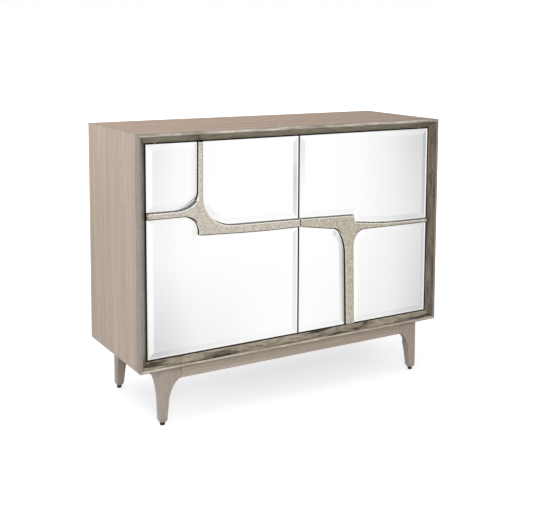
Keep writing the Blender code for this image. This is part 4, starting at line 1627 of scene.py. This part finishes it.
    def scattered(self, outline: np.ndarray) -> np.ndarray:
        """Places of a triangular lattice that lie inside an outline and clear of it.

        Whether a place is inside is the parity of the edges that a ray from it crosses, and how clear it is
        comes from its distance to every edge.

        Args:
            outline: the outline's points as (x, z).

        Returns:
            The places as (x, z).
        """
        low, high = outline.min(axis=0), outline.max(axis=0)
        rows = np.arange(low[1], high[1], self.spacing * math.sqrt(3) / 2)
        columns = np.arange(low[0], high[0], self.spacing)
        x, z = np.meshgrid(columns, rows)
        x = x + (np.arange(len(rows)) % 2)[:, None] * self.spacing / 2
        places = np.column_stack((x.ravel(), z.ravel()))
        after = np.roll(outline, -1, axis=0)
        edge = after - outline
        kept = []
        for part in np.array_split(places, max(1, len(places) // 4000)):
            offset = part[:, None, :] - outline[None]
            crosses = (outline[:, 1] > part[:, 1:]) != (after[:, 1] > part[:, 1:])
            rise = np.where(edge[:, 1] == 0, 1.0, edge[:, 1])
            ahead = part[:, :1] < outline[:, 0] + edge[:, 0] * offset[..., 1] / rise
            inside = np.sum(crosses & ahead, axis=1) % 2 == 1
            share = np.clip(np.sum(offset * edge, axis=2) / np.sum(edge**2, axis=1), 0, 1)
            gap = np.linalg.norm(offset - share[..., None] * edge, axis=2).min(axis=1)
            kept.append(part[inside & (gap > self.spacing * 0.6)])
        return np.concatenate(kept)


@dataclass
class Door:
    """A mirror door: its board, three bevelled mirrors, the cast overlay, pivots' bushes and strike."""

    side: Side
    inner: float = 2 * MM
    outer: float = 574.5 * MM
    bottom: float = 231 * MM
    top: float = 939 * MM
    glass_face: float = -206.5 * MM
    glass: float = 5 * MM
    glass_edge: float = 2.5 * MM
    bevel: float = 22 * MM
    seam: float = 0.5 * MM
    border: float = 5.5 * MM
    border_rise: float = 0.36 * MM
    clearance: float = 0.5 * MM
    bush_radius: float = 4 * MM
    bush_bore: float = 2.8 * MM
    bush_depth: float = 13 * MM
    bush_flange: float = 6.5 * MM
    bush_flange_rise: float = 1.2 * MM
    pivot_x: float = 538.5 * MM
    pivot_y: float = -195 * MM
    board_ease: float = 1.0 * MM
    strike_corner: float = 2 * MM
    strike_ease: float = 0.3 * MM
    turn_step: float = math.radians(3)

    @property
    def body(self) -> str:
        """The body that the door's pieces ride on."""
        return f"{self.side.word}_door"

    @property
    def edges(self) -> dict[str, float]:
        """The places of the door's four edges."""
        left, right = sorted((self.side.value * self.inner, self.side.value * self.outer))
        return {"left": left, "right": right, "bottom": self.bottom, "top": self.top}

    def overlay_corners(self) -> np.ndarray:
        """Places the overlay's corners, from their shares of the door.

        Returns:
            (x, z, reach before, reach after) of each corner, in metres.
        """
        shares = LEFT_OVERLAY_SHARES if self.side is Side.LEFT else RIGHT_OVERLAY_SHARES
        height = self.top - self.bottom
        scale = (self.outer - self.inner, height, height, height)
        return np.array((self.edges["left"], self.bottom, 0, 0)) + np.array(scale) * np.array(shares)

    def build(self) -> None:
        """Builds every piece of the door."""
        self.board()
        self.overlay()
        self.mirrors()
        self.fittings()

    def board(self) -> None:
        """Builds the board behind the mirrors, bored at its ends for the bushes."""
        node = f"{self.side.word}_door_panel"
        low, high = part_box(node)
        bore = self.bush_radius + SEAT_GAP
        deep = self.bush_depth + SEAT_GAP
        profile = [(0, -deep), (bore, -deep), (bore, deep), (0, deep)]
        x = self.side.value * self.pivot_x
        bit = turned(profile, 28)
        places = [(x, self.pivot_y, z) for z in (self.bottom, self.top)]
        holes = [bit.moved(Matrix.Translation(place)) for place in places]
        name = f"{self.side.word}_door_board"
        board = grown_box(low, high, self.board_ease)
        inside = board.points[:, 1] > high.y - WELD
        board.finish = [int(inside[face].all()) for face in board.faces]
        finishes = [DOOR_BOARD, VENEER_UPRIGHT]
        mesh = combined(name, board, holes, "DIFFERENCE", finishes)
        settle(name, mesh, finishes, self.body, [node])

    def overlay(self) -> None:
        """Builds the cast overlay."""
        sign = self.side.value
        casting = Casting(self.overlay_corners(), self.side, sign * self.outer, sign * self.inner)
        name = f"{self.side.word}_casting"
        node = f"{self.side.word}_overlay"
        # The right casting wears a darker copy of the plating: painted shade
        plating = CHAMPAGNE if self.side is Side.LEFT else WARM_SHADED_CHAMPAGNE
        finishes = [plating, PAINTED_EDGE_SHADE, POLISHED_WALL_PAINTED_LIGHT]
        settle(name, casting.build(), finishes, self.body, [node], 50.0, False)

    def mirrors(self) -> None:
        """Builds the mirrors: a flat field, a bevel that falls away, a border that lifts again, an edge."""
        overlay = self.overlay_corners()
        fall = self.glass - self.glass_edge
        back = self.glass_face + self.glass
        foot = self.glass_face + fall * (1 - self.border / self.bevel)
        levels = (
            (self.clearance + self.bevel, self.glass_face),
            (self.clearance + self.border, foot),
            (self.clearance + self.seam, foot - self.border_rise),
            (self.clearance, foot - self.border_rise + self.seam),
            (self.clearance, back - self.seam),
            (self.clearance + self.seam, back),
        )
        panes = LEFT_PANES if self.side is Side.LEFT else RIGHT_PANES
        for pane, (chosen, door_corners) in panes.items():
            shared = overlay[list(reversed(chosen))][:, [0, 1, 3, 2]]
            square = np.array([(self.edges[x], self.edges[z], 0, 0) for x, z in door_corners])
            corners = np.concatenate((shared, square))
            rings = []
            for inset, depth in levels:
                x, z = softened(corners, inset, self.turn_step).T
                rings.append(np.column_stack((x, np.full(len(x), depth), z)))
            shape = loft(np.stack(rings), [0, 0, 1, 1, 1])
            node = f"{self.side.word}_{pane}_mirror"
            name = f"{self.side.word}_{pane}_glass"
            settle(name, shape, [MIRROR, GLASS_EDGE], self.body, [node], 4.5)

    def fittings(self) -> None:
        """Builds the pivot bushes and the strike plate."""
        seat, flange = SEAT_GAP, self.bush_flange_rise + SEAT_GAP
        sleeve = [(self.bush_bore, -self.bush_depth), (self.bush_radius, -self.bush_depth)]
        shoulder = [(self.bush_radius, seat), (self.bush_flange, seat)]
        rim = [(self.bush_flange, flange), (self.bush_bore, flange)]
        ring = turned_ring([*sleeve, *shoulder, *rim], 40)
        x = self.side.value * self.pivot_x
        for end, height, turn in (("top", self.top, 0.0), ("bottom", self.bottom, math.pi)):
            place = Matrix.Translation((x, self.pivot_y, height)) @ Matrix.Rotation(turn, 4, "X")
            name = f"{self.side.word}_{end}_bush_ring"
            settle(name, ring.moved(place), [BRASS], self.body, [f"{self.side.word}_{end}_bush"])

        node = f"{self.side.word}_strike_plate"
        low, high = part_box(node)
        outline = rounded_rectangle(high.x - low.x, high.z - low.z, self.strike_corner)
        plate = eased_prism(outline, 0, high.y - low.y, self.strike_ease)
        upright = Matrix(((1, 0, 0, 0), (0, 0, 1, 0), (0, 1, 0, 0), (0, 0, 0, 1)))
        middle = Matrix.Translation(((low.x + high.x) / 2, low.y, (low.z + high.z) / 2))
        placed = plate.moved(middle @ upright)
        settle(f"{self.side.word}_strike", placed, [ZINC], self.body, [node])


@dataclass
class Hardware:
    """The pivots that the doors turn on and the catches that hold them shut."""

    ceiling: float = 949 * MM
    floor: float = 221 * MM
    plate: Triple = (56 * MM, 19 * MM, 5 * MM)
    plate_round: float = 4 * MM
    collar: float = 5.5 * MM
    pin: float = 2.5 * MM
    pin_depth: float = 11 * MM
    door_gap: float = 10 * MM
    bush_flange: float = 1.2 * MM
    plate_ease: float = 0.6 * MM
    pin_ease: float = 0.5 * MM
    screw: float = 3.6 * MM
    screw_rise: float = 1.3 * MM
    far_screw: float = 7 * MM
    near_screw: float = 13 * MM
    catch_ease: float = 1.6 * MM
    pole: float = 1.6 * MM
    pole_rise: float = 0.6 * MM
    pole_offset: float = 2.4 * MM
    pole_inset: float = 5 * MM
    pole_depth: float = 4 * MM
    pole_ease: float = 0.2 * MM

    def build(self) -> None:
        """Builds the pivots and the catches."""
        for side in Side:
            for end in ("top", "bottom"):
                self.pivot(side, end)
            self.catch(side)

    def pivot(self, side: Side, end: str) -> None:
        """Builds a pivot: a plate with round corners, a collar and an eased pin, and its two screws.

        Args:
            side: which door it carries.
            end: top or bottom.
        """
        node = f"{side.word}_{end}_pivot"
        low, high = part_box(node)
        length, width, thick = self.plate
        seat = self.ceiling - SEAT_GAP if end == "top" else self.floor + SEAT_GAP
        sign = -1 if end == "top" else 1
        middle = Vector(((low.x + high.x) / 2, (low.y + high.y) / 2, seat))
        upended = Matrix.Rotation(math.pi, 4, "X") if end == "top" else Matrix.Identity(4)
        outline = rounded_rectangle(length, width, self.plate_round)
        plate = eased_prism(outline, 0, thick, self.plate_ease).moved(Matrix.Translation(middle) @ upended)
        door = Door(side)
        axis = Vector((side.value * door.pivot_x, door.pivot_y, seat))
        collar_top = self.door_gap - 2 * SEAT_GAP - self.bush_flange
        tip = self.door_gap + self.pin_depth - SEAT_GAP
        start = thick / 2
        collar = [(0, start), (self.collar, start), (self.collar, collar_top)]
        profile = [*collar, (self.pin, collar_top), (self.pin, tip), (0, tip)]
        post = turned(eased_profile(profile, self.pin_ease), 36).moved(Matrix.Translation(axis) @ upended)
        mesh = combined(node, plate, [post], "UNION", [ZINC])
        settle(f"{node}_plate", mesh, [ZINC], "case", [node])
        head = screw_head(self.screw, self.screw_rise)
        far = middle.x - side.value * (length / 2 - self.far_screw)
        near = axis.x - side.value * self.near_screw
        level = seat + sign * thick
        heads = [head.moved(Matrix.Translation((x, middle.y, level)) @ upended) for x in (far, near)]
        settle(f"{node}_screws", heads[0] + heads[1], [ZINC], "case", [])

    def catch(self, side: Side) -> None:
        """Builds a magnetic catch: a plastic case with two steel poles that stand out of its front.

        Args:
            side: which door it holds.
        """
        node = f"{side.word}_catch"
        low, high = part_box(node)
        body = grown_box((low.x, low.y + self.pole_rise, low.z), high, self.catch_ease, 4)
        settle(f"{node}_case", body, [PLASTIC], "case", [node])
        middle = (low.x + high.x) / 2
        poles = []
        for offset in (-self.pole_offset, self.pole_offset):
            near = (middle + offset - self.pole / 2, low.y, low.z + self.pole_inset)
            far = (middle + offset + self.pole / 2, low.y + self.pole_depth, high.z - self.pole_inset)
            poles.append(grown_box(near, far, self.pole_ease))
        settle(f"{node}_poles", poles[0] + poles[1], [ZINC], "case", [])


@dataclass
class Base:
    """The base: four flared legs, four rails between them, corner blocks and floor glides."""

    height: float = 196 * MM
    side: float = 533 * MM
    end: float = 208.5 * MM
    rail_height: float = 43 * MM
    rail: float = 22 * MM
    ear: float = 76 * MM
    post: float = 36 * MM
    ankle: float = 33 * MM
    ankle_drop: float = 112 * MM
    foot: float = 26.6 * MM
    chamfer: float = 4 * MM
    chamfer_rise: float = 8 * MM
    pull_across: float = 13 * MM
    pull_up: float = 40 * MM
    lean: float = 5 * MM
    knee_steps: int = 44
    ease: float = 1.3 * MM
    rail_ease: float = 0.7 * MM
    block_ease: float = 1.0 * MM
    joint: float = 1.1 * MM
    glide_height: float = 11 * MM
    glide_radius: float = 8.5 * MM
    glide_neck: float = 8.0 * MM
    glide_neck_height: float = 1.0 * MM
    stem: float = 3 * MM
    stem_length: float = 12 * MM
    tread_in: float = 1 * MM
    tread_rise: float = 1.6 * MM
    shoulder: float = 1.2 * MM
    glide_ease: float = 0.8 * MM
    block_reach: float = 66 * MM
    block_height: float = 32 * MM
    corners: tuple[tuple[str, int, int, float], ...] = (
        ("front_left", -1, -1, 0.0),
        ("front_right", 1, -1, math.pi / 2),
        ("rear_right", 1, 1, math.pi),
        ("rear_left", -1, 1, -math.pi / 2),
    )

    @property
    def leg_height(self) -> float:
        """How far a leg reaches below the case."""
        return self.height - self.glide_height

    def build(self) -> None:
        """Builds every piece of the base."""
        leg, block, glide = self.leg(), self.block(), self.glide()
        for name, x_sign, y_sign, turn in self.corners:
            corner = Matrix.Translation((x_sign * self.side, y_sign * self.end, self.height))
            placed = corner @ Matrix.Rotation(turn, 4, "Z")
            # The legs on the right wear a darker copy of the wood: painted shade
            wood = BASE_UPRIGHT_SHADED if x_sign > 0 else BASE_UPRIGHT
            settle(f"{name}_flared_leg", leg.moved(placed), [wood], "case", [f"{name}_leg"])
            brace, node = block.moved(placed), f"{name}_corner_block"
            settle(f"{name}_brace", brace, [RAW_HARDWOOD], "case", [node])
            inset = self.foot / 2
            where = Matrix.Translation((x_sign * (self.side - inset), y_sign * (self.end - inset), 0))
            settle(f"{name}_foot", glide.moved(where), [PLASTIC], "case", [f"{name}_glide"])
        for rail in ("front", "rear", "left", "right"):
            low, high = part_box(f"{rail}_rail")
            lengthwise = rail in ("front", "rear")
            finish = BASE_ACROSS if lengthwise else BASE_DEEP
            joint = Vector((self.joint, 0, 0)) if lengthwise else Vector((0, self.joint, 0))
            board = grown_box(low + joint, high - joint, self.rail_ease)
            settle(f"{rail}_apron", board, [finish], "case", [f"{rail}_rail"])

    def leg(self) -> Shape:
        """A leg with its outer edge at the origin, and its ears along X and Y.

        Each level is an angle section with a square post in its corner. Its reach w follows the knee's curve
        and then the tapered shank, its ears are as thick as the rails or as w if that is less, and every
        corner is the quarter circle c - r (1 - sin a) d0 + r (1 - cos a) d1 between the ways d0 and d1.

        Returns:
            The closed shape.
        """
        start, end = (self.ear, -self.rail_height), (self.ankle, -self.ankle_drop)
        handles = (start[0] - self.pull_across, start[1]), (end[0] + self.lean, end[1] + self.pull_up)
        knee = bezier((start, *handles, end), self.knee_steps)
        top, bottom = -SEAT_GAP, -self.leg_height
        shank_end = bottom + self.chamfer_rise
        shank = np.linspace(end, (self.foot, shank_end), 9)[1:]
        tip = (self.foot - self.chamfer, bottom)
        levels = np.concatenate(([(self.ear, top), (self.ear, top - self.ease)], knee, shank, [tip]))
        reach, height = levels.T
        cut = np.where(height < shank_end - WELD, self.chamfer, 0.0)
        ear = np.minimum(self.rail, reach)
        post = np.minimum(self.post, reach)
        x = np.stack((cut, reach, reach, post, post, ear, ear, cut), axis=1)
        y = np.stack((cut, cut, ear, ear, post, post, reach, reach), axis=1)
        # The ears' corners shrink away where the ears run out
        slack = np.minimum(self.ease, (reach - post) / 2.5)
        full = np.full_like(slack, self.ease)
        radius = np.stack((full, full, slack, slack, full, slack, slack, full), axis=1)
        ways = np.array(((0, -1), (1, 0), (0, 1), (-1, 0), (0, 1), (-1, 0), (0, 1), (-1, 0), (0, -1)), float)
        angle = np.linspace(0, math.pi / 2, 4)
        corner = np.stack((x, y), axis=-1)[:, :, None, :]
        back = radius[:, :, None, None] * (1 - np.sin(angle))[None, None, :, None] * ways[None, :8, None]
        ahead = radius[:, :, None, None] * (1 - np.cos(angle))[None, None, :, None] * ways[None, 1:, None]
        section = (corner - back + ahead).reshape(len(levels), -1, 2)
        rise = np.broadcast_to(height[:, None, None], (*section.shape[:2], 1))
        return loft(np.concatenate((section, rise), axis=-1))

    def block(self) -> Shape:
        """A corner block across two rails, its corner cut away to pass the post.

        Returns:
            The closed shape.
        """
        near = self.rail + SEAT_GAP
        far = near + self.block_reach
        clip = near + 2 * (self.post - near) + SEAT_GAP * math.sqrt(2)
        outline = np.array(((clip, near), (far, near), (near, far), (near, clip)))
        return eased_prism(outline, -SEAT_GAP - self.block_height, -SEAT_GAP, self.block_ease)

    def glide(self) -> Shape:
        """A floor glide on its stem, standing at height zero.

        Returns:
            The closed shape.
        """
        wide, narrow = self.glide_radius, self.glide_neck
        neck, seat = self.glide_height - self.glide_neck_height, self.glide_height - SEAT_GAP
        tip = self.glide_height + self.stem_length
        tread = [(0, 0), (wide - self.tread_in, 0), (wide, self.tread_rise), (wide, neck - self.shoulder)]
        upper = [(narrow, neck), (narrow, seat), (self.stem, seat), (self.stem, tip), (0, tip)]
        return turned(eased_profile([*tread, *upper], self.glide_ease), 40)


# How far to the right a reflection looks, as its share of how far it looks to the front, and the tone of the
# floor there: far from the cabinet, further still, and close to it. Last, the room's tones by height.
FAR_FLOOR_TONES = (
    (0.20, "#ffffff"), (0.36, "#fdfdfd"), (0.42, "#f5f5f5"), (0.46, "#fdfdfd"),
    (0.53, "#ffffff"), (0.66, "#ffffff"), (0.72, "#fbfbfb"), (0.775, "#f0f0f0"),
    (0.80, "#e8e8e9"), (0.825, "#e2e2e3"), (0.85, "#ededee"), (0.88, "#d6d6d7"),
    (0.93, "#d5d5d6"), (1.02, "#d6d6d7"), (1.08, "#cbcbcc"), (1.30, "#c4c4c5"),
)
REMOTE_FLOOR_TONES = (
    (0.20, "#ffffff"), (0.35, "#fefefe"), (0.415, "#ebebeb"), (0.455, "#fafafa"),
    (0.53, "#ffffff"), (0.66, "#ffffff"), (0.72, "#fafafa"), (0.775, "#ebebeb"),
    (0.82, "#d6d6d7"), (0.832, "#dadadb"), (0.85, "#f3f3f3"), (0.90, "#f1f1f2"),
    (0.98, "#d8d8d9"), (1.06, "#cfcfd0"), (1.09, "#cacacb"), (1.30, "#c0c0c1"),
)
NEAR_FLOOR_TONES = (
    (0.20, "#ffffff"), (0.35, "#f4f4f4"), (0.42, "#cbcbcc"), (0.475, "#e8e8e8"),
    (0.525, "#f2f2f2"), (0.575, "#fbfbfb"), (0.65, "#fafafa"), (0.725, "#efefef"),
    (0.775, "#e9e9e9"), (0.825, "#d2d2d3"), (0.95, "#dededf"), (1.30, "#c4c4c5"),
)
OVERHEAD_TONES = (
    (0.0, "#ffffff"), (0.25, "#ffffff"), (0.45, "#b0b0b2"), (0.7, "#8c8c90"), (1.0, "#c8c8cb"),
)


@dataclass
class Studio:
    """The floor, the light and the camera."""

    lens: float = 64.127
    sensor: float = 36.0
    shift: Pair = (-0.0653, -0.2238)
    eye: Triple = (-1.7367, -3.0061, 1.2886)
    yaw: float = -31.926
    pitch: float = -6.094
    roll: float = -0.428
    floor_reach: float = 40.0
    ambient: float = 0.62
    lamp_side: float = 1.8
    key: tuple[float, float, float, float] = (-1.6, -3.7, 1.9, 67.0)
    fill: tuple[float, float, float, float] = (-3.3, -0.5, 0.65, 35.0)
    top_light: tuple[float, float, float, float] = (-0.55, 0.3, 1.7, 7.0)
    fill_colour: Triple = (0.78, 0.86, 1.0)
    aim: Triple = (0.0, 0.0, 0.55)
    flag: Pair = (-1.737, 2.593)
    least_front: float = 0.1
    near_fade: Pair = (3.3, 4.9)
    near_fade_power: float = 0.6
    remote_fade: Pair = (5.5, 9.5)
    shadow_fade: Pair = (0.9, 2.6)
    shadow_strength: float = 0.56

    def build(self) -> None:
        """Sets the view, and makes the floor, the world, the lamps and the camera."""
        bpy.context.scene.view_settings.view_transform = "Standard"
        self.floor()
        self.world()
        self.lamps()
        self.camera()

    def floor(self) -> None:
        """Makes the floor: white with a soft shadow to the camera, and in a mirror greyer to the right."""
        mesh = bpy.data.meshes.new("floor")
        r = self.floor_reach
        mesh.from_pydata([(-r, -r, 0), (r, -r, 0), (r, r, 0), (-r, r, 0)], [], [(0, 1, 2, 3)])
        made = bpy.data.materials.new("Studio floor")
        made.use_nodes = True
        net = Nodes(made.node_tree)
        net.tree.nodes.clear()
        soft = net.out("BsdfDiffuse", None, {"Color": linear("#8c8c8c")})
        shadowed = net.out("BsdfDiffuse", None, {"Color": linear("#e4e4e8")})
        where = net.out("TexCoord", output="Object")
        length = net.out("VectorMath", {"operation": "LENGTH"}, {0: where}, "Value")
        low, high = self.shadow_fade
        span = {"Value": length, "From Min": low, "From Max": high, "To Min": self.shadow_strength}
        strength = net.out("MapRange", {"interpolation_type": "SMOOTHSTEP"}, span)
        lit = net.out("Emission", None, {"Color": WHITE, "Strength": strength})
        shown = net.out("AddShader", None, {0: shadowed, 1: lit})
        mirrored = net.out("Emission", None, {"Color": self.mirrored_floor(net)})
        path = net.add("LightPath").outputs
        seen = net.out("MixShader", None, {0: path["Is Camera Ray"], 1: soft, 2: shown})
        inputs = {0: path["Is Glossy Ray"], 1: path["Is Transmission Ray"]}
        either = net.out("Math", {"operation": "MAXIMUM"}, inputs)
        whole = net.out("MixShader", None, {0: either, 1: seen, 2: mirrored})
        net.add("OutputMaterial", None, {"Surface": whole})
        mesh.materials.append(made)
        obj = bpy.data.objects.new("studio_floor", mesh)
        bpy.context.scene.collection.objects.link(obj)

    def fan(self, net: Nodes, right: Socket, front: Socket, stops: Sequence[tuple[float, str]]) -> Socket:
        """A grey that depends on right / front, as the stops give it.

        Args:
            net: the nodes that it goes into.
            right: how far a reflection looks to the right.
            front: how far it looks to the front.
            stops: (share, hex colour) pairs.

        Returns:
            The tone's colour.
        """
        low, high = stops[0][0], stops[-1][0]
        share = net.out("Math", {"operation": "DIVIDE"}, {0: right, 1: front})
        span = {"Value": share, "From Min": low, "From Max": high}
        place = net.out("MapRange", None, span)
        scaled = [((at - low) / (high - low), code) for at, code in stops]
        ramp = net.add("ValToRGB", {"stops": scaled}, {"Fac": place})
        ramp.color_ramp.interpolation = "CARDINAL"
        return ramp.outputs[0]

    def mirrored_floor(self, net: Nodes) -> Socket:
        """The floor's tone in a reflection: painted shade, greys that fan out as from a flag behind the
        cabinet's left corner, which is not built.

        Args:
            net: the floor's nodes.

        Returns:
            The tone's colour.
        """
        where = net.apart()
        inputs = {0: where[0], 1: self.flag[0]}
        right = net.out("Math", {"operation": "SUBTRACT"}, inputs)
        inputs = {0: self.flag[1], 1: where[1]}
        front = net.out("Math", {"operation": "SUBTRACT"}, inputs)
        inputs = {0: front, 1: self.least_front}
        front = net.out("Math", {"operation": "MAXIMUM"}, inputs)
        tones = (FAR_FLOOR_TONES, NEAR_FLOOR_TONES, REMOTE_FLOOR_TONES)
        far_tone, near_tone, remote_tone = (self.fan(net, right, front, stops) for stops in tones)
        shares = []
        for low, high in (self.near_fade, self.remote_fade):
            span = {"Value": front, "From Min": low, "From Max": high}
            shares.append(net.out("MapRange", None, span))
        inputs = {0: shares[0], 1: self.near_fade_power}
        far = net.out("Math", {"operation": "POWER"}, inputs)
        tone = net.out("Mix", COLOURS, {0: far, 6: near_tone, 7: far_tone}, 2)
        inputs = {0: shares[1], 6: tone, 7: remote_tone}
        return net.out("Mix", COLOURS, inputs, 2)

    def world(self) -> None:
        """Lights softly from all round, white to the camera, and in a mirror like the floor far away."""
        world = bpy.data.worlds.new("Studio")
        bpy.context.scene.world = world
        world.use_nodes = True
        net = Nodes(world.node_tree)
        net.tree.nodes.clear()
        path = net.add("LightPath").outputs
        glossy = path["Is Glossy Ray"]
        seen = path["Is Camera Ray"]
        for kind in (glossy, path["Is Transmission Ray"]):
            seen = net.out("Math", {"operation": "MAXIMUM"}, {0: seen, 1: kind})
        way = net.apart()
        front = net.out("Math", {"operation": "MULTIPLY"}, {0: way[1], 1: -1.0})
        inputs = {0: front, 1: self.least_front}
        front = net.out("Math", {"operation": "MAXIMUM"}, inputs)
        level = self.fan(net, way[0], front, FAR_FLOOR_TONES)
        stops = {"stops": OVERHEAD_TONES}
        overhead = net.out("ValToRGB", stops, {"Fac": way[2]})
        settings = {**COLOURS, "blend_type": "MULTIPLY"}
        room = net.out("Mix", settings, {0: 1.0, 6: overhead, 7: level}, 2)
        inputs = {0: glossy, 6: WHITE, 7: room}
        tone = net.out("Mix", COLOURS, inputs, 2)
        dim = net.out("Background", None, {"Color": WHITE, "Strength": self.ambient})
        full = net.out("Background", None, {"Color": tone, "Strength": 1.0})
        mixed = net.out("MixShader", None, {0: seen, 1: dim, 2: full})
        net.add("OutputWorld", None, {"Surface": mixed})

    def lamps(self) -> None:
        """Hangs three large soft lamps: one in front, a weaker one on the left and a faint one above."""
        target = Vector(self.aim)
        white = (1.0, 1.0, 1.0)
        lamps = (
            ("key_lamp", self.key, white),
            ("fill_lamp", self.fill, self.fill_colour),
            ("top_lamp", self.top_light, white),
        )
        for name, (x, y, z, power), colour in lamps:
            data = bpy.data.lights.new(name, "AREA")
            data.shape = "SQUARE"
            data.size = self.lamp_side
            data.energy = power
            data.color = colour
            lamp = bpy.data.objects.new(name, data)
            lamp.location = (x, y, z)
            lamp.rotation_euler = (target - lamp.location).to_track_quat("-Z", "Y").to_euler()
            lamp.visible_glossy = False
            bpy.context.scene.collection.objects.link(lamp)

    def camera(self) -> None:
        """Makes the camera where the photograph was taken: turned by yaw, then pitch, then roll."""
        data = bpy.data.cameras.new("camera")
        data.sensor_width = self.sensor
        data.lens = self.lens
        data.shift_x, data.shift_y = self.shift
        camera = bpy.data.objects.new("camera", data)
        turn = (
            Matrix.Rotation(math.radians(self.yaw), 4, "Z")
            @ Matrix.Rotation(math.radians(self.pitch), 4, "X")
            @ Matrix.Rotation(math.radians(self.roll), 4, "Y")
        )
        level = Matrix.Rotation(math.pi / 2, 4, "X")
        camera.matrix_world = Matrix.Translation(self.eye) @ turn @ level
        bpy.context.scene.collection.objects.link(camera)
        bpy.context.scene.camera = camera


def main() -> None:
    """Loads the frame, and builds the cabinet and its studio."""
    logging.basicConfig(level=logging.INFO, format="%(name)s %(message)s")
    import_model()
    Studio().build()
    case = Case()
    case.build()
    FrontMoulding(case).build()
    for side in Side:
        Door(side).build()
    Hardware().build()
    Base().build()


if __name__ == "__main__":
    main()
